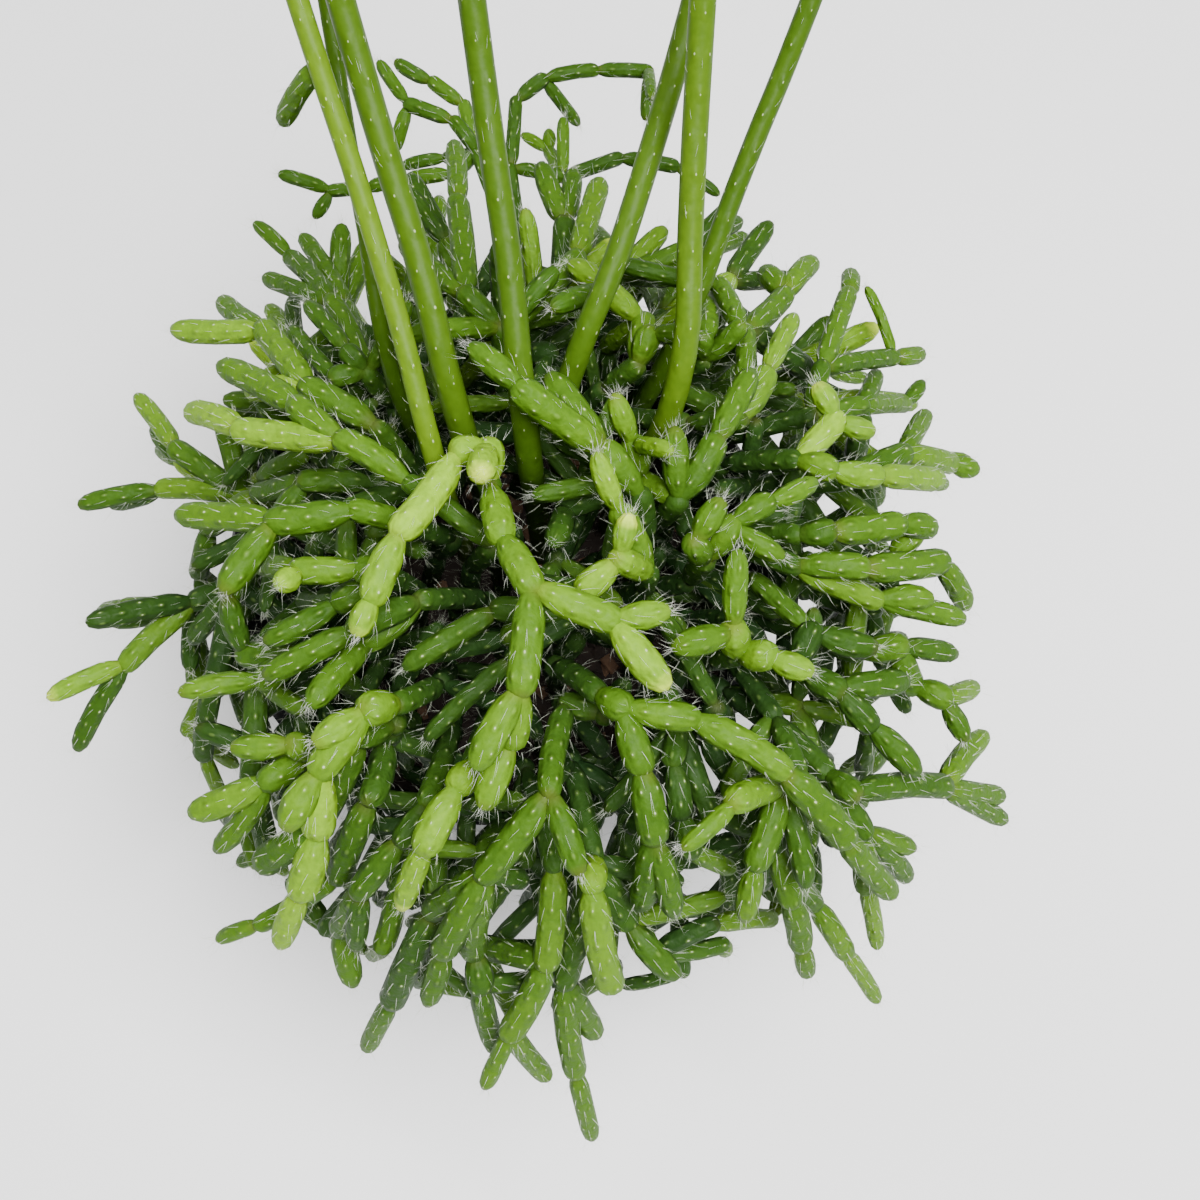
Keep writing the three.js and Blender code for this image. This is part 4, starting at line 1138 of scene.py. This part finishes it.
def makePiece(name, patches, materials, replaced=()):
    places = np.concatenate([patch.places for patch in patches]) * mm
    faces, kinds, first = [], [], 0
    for patch in patches:
        faces += [tuple(v + first for v in face) for face in patch.faces]
        kinds += [patch.material] * len(patch.faces)
        first += len(patch.places)
    mesh = bpy.data.meshes.new(name)
    mesh.from_pydata(places.tolist(), [], faces)
    for key in patches[0].values:
        filled = [np.broadcast_to(patch.values[key], len(patch.places)) for patch in patches]
        mesh.attributes.new(key, "FLOAT", "POINT").data.foreach_set("value", np.concatenate(filled))
    corners = np.concatenate([patch.map for patch in patches])
    mesh.uv_layers.new(name="areoles").data.foreach_set("uv", corners.ravel())
    mesh.polygons.foreach_set("material_index", kinds)
    mesh.shade_smooth()
    mesh.update()
    for material in materials:
        mesh.materials.append(material)
    piece = bpy.data.objects.new(name, mesh)
    bpy.context.collection.objects.link(piece)
    return declare(piece, replaced)


def shapeJoint(made):  # its axes turned by chance, its bow, its taper, its tone and its width
    look, line = jointLook, made.end - made.start
    made.span = length(line)
    made.ahead = line / made.span
    side, over = crossAxes(made.ahead)
    turn = rng.uniform(0, 2 * math.pi)
    made.side = side * math.cos(turn) + over * math.sin(turn)
    made.over = np.cross(made.ahead, made.side)
    made.bow = rng.uniform(*jointShape["bows"]) * made.span
    made.taper = rng.uniform(*jointShape["tapers"])
    fresh, hanging = made.fresh or look["stalkFresh"], rising(made.end[2], *look["hangs"])
    tone = fresh * look["toneShare"] + rng.uniform(-look["toneSpread"], look["toneSpread"])
    # Hanging joints get a lifted tone: fresher olive skin, and painted light that makes up for the light
    # falling off below the mound
    made.tone = min(max(tone + look["toneLift"] + hanging * look["hangingToneAndPaintedLight"], 0), 1)
    forked = any(other.parent is made for other in made.stem.joints)
    made.isLast = made in made.stem.joints and not forked
    made.wide = made.radius * rng.uniform(*jointShape["lastWidths" if made.isLast else "widths"])
    made.wide *= 1 - hanging * look["hangingSlimmer"]
    made.around = look["aroundThin"] if made.radius < look["thin"] else look["around"]
    glows = fresh > look["glowsAbove"]
    made.tipGlow = rng.uniform(*look["glows"]) if glows else rng.uniform(0, 1) ** 3 * look["dimGlow"] * fresh


def jointMiddle(made, along):
    t = np.clip(along / made.span, 0, 1)[..., None]
    middle = made.start + made.ahead * along[..., None] + made.side * (made.bow * 4 * t * (1 - t))
    return middle, made.wide * (1 + (made.taper - 1) * t)


def jointPatch(made):
    shape, heights = jointShape, jointMaster.places[:, 2]
    cap = min(made.radius, made.span / shape["shortestSpan"])  # a short joint has short ends
    endCap = shape["lastEndCap"] if made.isLast else shape["endCap"]
    first = shape["startsAt"] * cap
    last = made.span + (shape["endsPast"] - shape["endShare"] * endCap) * cap
    along = first + heights * (last - first)
    along = np.where(heights < 0, first + heights * shape["startCap"] * cap, along)
    along = np.where(heights > 1, last + (heights - 1) * endCap * cap, along)
    middle, radius = jointMiddle(made, along)
    places = middle + crossing(jointMaster, made.side, made.over) * radius
    tip = rising(along - made.span, *shape["tipFrom"]) * (made.tipGlow if made.isLast else 0)
    return Patch(
        jointMaster, places, along / jointLook["rowStep"], made.around, 0,
        fresh=made.tone, tip=tip, shade=depthShade(places),
        body=rising(heights, *shape["bodyFrom"]) * rising(heights, *shape["bodyTo"]),
    )


def smoothLine(points, steps=12):  # a smooth line through the points, and how far along each place is
    points = np.array(points)
    ends = np.vstack([2 * points[0] - points[1], points, 2 * points[-1] - points[-2]])
    fine = []
    for a, b, c, d in zip(ends, ends[1:], ends[2:], ends[3:]):
        for t in np.arange(steps) / steps:
            curved = (2 * a - 5 * b + 4 * c - d) * t ** 2 + (3 * b - a - 3 * c + d) * t ** 3
            fine.append(0.5 * (2 * b + (c - a) * t + curved))
    fine = np.array([*fine, points[-1]])
    run = np.concatenate([[0], np.cumsum(np.linalg.norm(np.diff(fine, axis=0), axis=1))])
    return fine, run


def tubePatch(master, points, radius, tone, material):
    fine, run = smoothLine(points)
    wanted = np.clip(master.levels, 0, 1) * run[-1]
    line = np.stack([np.interp(wanted, run, fine[:, i]) for i in range(3)], 1)
    side, places = crossAxes(unit(line[3] - line[1]))[0], np.empty_like(master.places)
    for level, point in enumerate(line):
        nextPoint, lastPoint = line[min(level + 2, len(line) - 1)], line[max(level - 2, 0)]
        ahead = unit(nextPoint - lastPoint)
        side = unit(side - ahead * (side @ ahead))
        over, chosen = np.cross(ahead, side), master.level == level
        places[chosen] = point + crossing(master, side, over)[chosen] * radius
    along = wanted[master.level] / jointLook["rowStep"]
    return Patch(
        master, places, along, jointLook["around"], material,
        fresh=tone, tip=0.0, shade=depthShade(places), body=0.0,
    )


def needlePatch(root, way, span, turning):  # bent towards the way it turns
    high = needleMaster.places[:, 2:3]
    across = crossing(needleMaster, *crossAxes(way)) * bristle["thick"]
    places = root + across + (way * high + turning * bristle["bend"] * high ** 2) * span
    return Patch(needleMaster, places, high[:, 0], 1, 0, shade=depthShade(root))


def areoleBristles(made, row, step):
    turn = (step + (0 if row % 2 else 0.5)) / made.around * 2 * math.pi
    turn += rng.uniform(-bristle["turns"], bristle["turns"])
    shift = rng.uniform(-bristle["shifts"], bristle["shifts"])
    middle, radius = jointMiddle(made, np.array(row * jointLook["rowStep"] + shift))
    out, stray, patches = made.side * math.cos(turn) + made.over * math.sin(turn), bristle["strays"], []
    for _ in range(rng.integers(*bristle["perAreole"])):
        way = out + made.ahead * rng.uniform(*bristle["leans"])
        way = unit(way + rng.uniform(-stray, stray, 3))
        span = rng.uniform(bristle["shortest"], bristle["longest"])
        patches.append(needlePatch(middle + out * radius * bristle["rootedAt"], way, span, made.ahead))
    return patches


def endBristles(made):  # a tuft on a growing tip, and wool round an older end
    count, spread = ("tuft", "tuftSpread") if made.isLast else ("wool", "woolSpread")
    stray, patches = bristle["strays"], []
    for _ in range(bristle[count]):
        way = unit(made.ahead + rng.normal(0, bristle[spread], 3))
        past = made.ahead * made.radius * bristle["tuftPast"]
        root = made.end + past + rng.uniform(-stray, stray, 3) * made.radius
        span = rng.uniform(bristle["shortest"], bristle["tuftLongest"])
        patches.append(needlePatch(root, way, span, rng.uniform(-1, 1, 3)))
    return patches


def jointBristles(made):
    step = jointLook["rowStep"]
    first = math.ceil(made.radius * bristle["firstAt"] / step)
    last = math.floor((made.span + made.radius * bristle["lastPast"]) / step)
    patches = []
    for row in range(first, last + 1):
        for turn in range(made.around):
            patches += areoleBristles(made, row, turn)
    return patches + (endBristles(made) if made.fresh is not None else [])


def shootBristles(stem):
    patches, stray = [], bristle["shootStrays"]
    for made in stem.stalk:
        ahead, span = unit(made.end - made.start), length(made.end - made.start)
        side, over = crossAxes(ahead)
        for _ in range(int(span * bristle["perShootLength"])):
            turn = rng.uniform(0, 2 * math.pi)
            out = side * math.cos(turn) + over * math.sin(turn)
            root = made.start + ahead * rng.uniform(0, span) + out * made.radius * bristle["shootRootedAt"]
            way = unit(out * bristle["shootLean"] + ahead + rng.uniform(-stray, stray, 3))
            patches.append(needlePatch(root, way, rng.uniform(*bristle["shootLengths"]), ahead))
    return patches


def makeStem(stem):
    isShoot = stem.name.startswith("shoot_")
    lengths = stem.joints if isShoot else stem.stalk + stem.joints  # a stalk is older joints, end to end
    for made in lengths:
        shapeJoint(made)
    patches = [jointPatch(made) for made in lengths]
    if isShoot:
        points = [stem.stalk[0].start, *[made.end for made in stem.stalk]]
        tone = shoot["tones"][stem.name]
        patches.append(tubePatch(shootMaster, points, stem.stalk[0].radius, tone, 1))
    makePiece(stem.name, patches, [jointSkin, shootSkin], ["stem_" + stem.name])
    hairs = [hair for made in lengths for hair in jointBristles(made)]
    hairs += shootBristles(stem) if isShoot else []
    makePiece("bristles_" + stem.name, hairs, [bristleWhite])


for stem in stems:
    makeStem(stem)
print("stems made")


def soilHeight(x, y):
    look, edge = soilLook, innerRadius(soilTop) - soil["gap"]
    share = min(math.hypot(x, y) / edge, 1)
    lumps = noise.fractal(Vector((x, y, 0)) * look["lumpScale"], *look["lumps"]) * look["lumpHeight"]
    lumps *= 1 - share ** look["lumpsFade"]
    return soilTop + soil["crown"] * (1 - share ** 2) + lumps - look["sunk"]


def makeSoil():
    low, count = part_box("soil")[0].z / mm, soilLook["rings"]
    edge, bottom = innerRadius(soilTop) - soil["gap"], innerRadius(low) - soil["gap"]
    rings = [(low, bottom), (soilTop - soilLook["edgeDepth"], edge)]
    rings += [(soilTop, edge * (1 - i / count)) for i in range(count)]
    piece = growRings(soilLook["sides"], rings, low, soilTop)
    for vertex in piece.data.vertices:
        x, y, z = vertex.co
        if z > soilTop - soilLook["edgeDepth"] / 3:
            vertex.co.z = soilHeight(x, y)
        vertex.co *= mm
    piece.data.shade_smooth()
    return finishPiece(piece, "finerSoil", earth, ["soil"])


def scatter(name, piece, count, sizes, material, reach):  # copies of a bit, dropped on the soil
    bits, tilts = [], soilLook["tilts"]
    for _ in range(count):
        out, turn = reach * math.sqrt(rng.uniform(0, 1)), rng.uniform(0, 2 * math.pi)
        x, y = out * math.cos(turn), out * math.sin(turn)
        bit = piece.copy()
        bit.data = piece.data.copy()
        tilt = Euler((rng.uniform(-tilts, tilts), rng.uniform(-tilts, tilts), rng.uniform(0, 2 * math.pi)))
        size = rng.uniform(*sizes)
        scale = Vector([size * rng.uniform(*soilLook["stretches"]) for _ in range(3)])
        bit.data.transform(Matrix.LocRotScale(Vector((x, y, soilHeight(x, y))) * mm, tilt, scale * mm))
        bpy.context.collection.objects.link(bit)
        bits.append(bit)
    bpy.data.objects.remove(piece)
    selectOnly(bits[0])
    for bit in bits:
        bit.select_set(True)
    bpy.ops.object.join()
    return finishPiece(bpy.context.object, name, material)


def makeCrumb():
    bpy.ops.mesh.primitive_ico_sphere_add(subdivisions=1, radius=1)
    crumb = bpy.context.object
    for vertex in crumb.data.vertices:
        vertex.co *= rng.uniform(*soilLook["crumbRadii"])
    return crumb


def makeChip():
    bpy.ops.mesh.primitive_cube_add(size=2)
    chip = bpy.context.object
    bpy.ops.object.mode_set(mode="EDIT")
    bpy.ops.transform.resize(value=soilLook["chipShape"])
    bpy.ops.mesh.bevel(offset=soilLook["chipBevel"], segments=1)
    bpy.ops.object.mode_set(mode="OBJECT")
    wide, deep = soilLook["chipStrays"]
    for vertex in chip.data.vertices:
        vertex.co.x += rng.uniform(-wide, wide)
        vertex.co.y += rng.uniform(-deep, deep)
    return chip


makeSoil()
soilEdge = innerRadius(soilTop)
crumbReach, chipReach = soilEdge - soilLook["crumbMargin"], soilEdge - soilLook["chipMargin"]
scatter("soilCrumbs", makeCrumb(), soilLook["crumbs"], soilLook["crumbSizes"], earth, crumbReach)
scatter("barkChips", makeChip(), soilLook["chips"], soilLook["chipSizes"], bark, chipReach)
print("soil made")

potShape = {
    "sides": 96, "foot": 0.8, "floor": 1.5, "bead": 0.3, "innerEdge": 0.5, "innerFoot": 0.6,
    "holes": 6, "holeRadius": 3.2, "holeRing": 21, "holeSides": 20, "smoothBelow": 35,
}


def potProfile():
    h, edge, foot, floor = pot["height"], pot["lipEdge"], potShape["foot"], potShape["floor"]
    bead, innerEdge, innerFoot = potShape["bead"], potShape["innerEdge"], potShape["innerFoot"]
    lip, under = pot["rim"] + pot["lipOut"], h - pot["lipDepth"]
    return [
        (0, pot["base"] - foot), (foot, outerRadius(foot)),
        (under - bead, outerRadius(under)), (under, outerRadius(under) + bead),
        (under, lip - edge), (under + edge, lip), (h - edge, lip), (h, lip - edge),
        (h, innerRadius(h) + innerEdge), (h - innerEdge, innerRadius(h)),
        (floor + innerFoot, innerRadius(floor)), (floor, innerRadius(floor) - innerFoot),
    ]


def cutHole(piece, turn):
    x, y = potShape["holeRing"] * math.cos(turn), potShape["holeRing"] * math.sin(turn)
    sides, radius = potShape["holeSides"], potShape["holeRadius"]
    bpy.ops.mesh.primitive_cylinder_add(vertices=sides, radius=radius, depth=10, location=(x, y, 0))
    cutter = bpy.context.object
    selectOnly(piece)
    cut = piece.modifiers.new("hole", "BOOLEAN")
    cut.operation, cut.object = "DIFFERENCE", cutter
    bpy.ops.object.modifier_apply(modifier=cut.name)
    bpy.data.objects.remove(cutter)


def makePot():
    piece = growRings(potShape["sides"], potProfile(), 0, potShape["floor"])
    for i in range(potShape["holes"]):
        cutHole(piece, i / potShape["holes"] * 2 * math.pi)
    piece.data.transform(Matrix.Scale(mm, 4))
    selectOnly(piece)
    bpy.ops.object.shade_smooth_by_angle(angle=math.radians(potShape["smoothBelow"]))
    return finishPiece(piece, "finerPot", potPlastic, ["pot"])


makePot()
print("pot made")

stage = {
    "paper": (0.90, 0.90, 0.90), "grainScale": 90.0, "grain": 0.99, "roughness": 0.9, "size": 6,
    "sky": 0.40, "lens": 45,
    "lampsAimAt": (0, 0, 0.1),
    "lamps": {  # power in watts, size and place
        "mainSoftbox": (29, 0.6, (0.24, -0.20, 1.0)),
        "fillSoftbox": (4, 0.9, (-0.6, 0.5, 0.9)),
    },
}


def makeFloor():
    bpy.ops.mesh.primitive_plane_add(size=stage["size"])
    floor = bpy.context.object
    floor.name = "paleFloor"
    f = Finish("palePaper")
    grain = f.noise(f.objectPlace(), stage["grainScale"], 3.0)
    dimmer = tuple(c * stage["grain"] for c in stage["paper"])
    tone = f.ramp(grain, [(0.0, dimmer), (1.0, stage["paper"])])
    floor.data.materials.append(f.skin(Base_Color=tone, Roughness=stage["roughness"]))


def makeLight():
    world = bpy.data.worlds.new("softWhite")
    world.use_nodes = True
    sky = world.node_tree.nodes["Background"].inputs
    sky["Color"].default_value, sky["Strength"].default_value = (1, 1, 1, 1), stage["sky"]
    bpy.context.scene.world = world
    for name, (power, size, place) in stage["lamps"].items():
        bpy.ops.object.light_add(type="AREA", location=place)
        lamp = bpy.context.object
        lamp.name, lamp.data.energy, lamp.data.size = name, power, size
        aim = Vector(stage["lampsAimAt"]) - Vector(place)
        lamp.rotation_euler = aim.to_track_quat("-Z", "Y").to_euler()


def makeCamera():
    camera = bpy.data.objects.new("eye", bpy.data.cameras.new("eye"))
    bpy.context.collection.objects.link(camera)
    camera.data.lens = stage["lens"]
    axes = Matrix((Vector((1, 0, 0)), Vector(eyeUp), -Vector(eyeAhead))).transposed()
    camera.matrix_world = Matrix.Translation(Vector(eyePlace) * mm) @ axes.to_4x4()
    bpy.context.scene.camera = camera


makeFloor()
makeLight()
makeCamera()
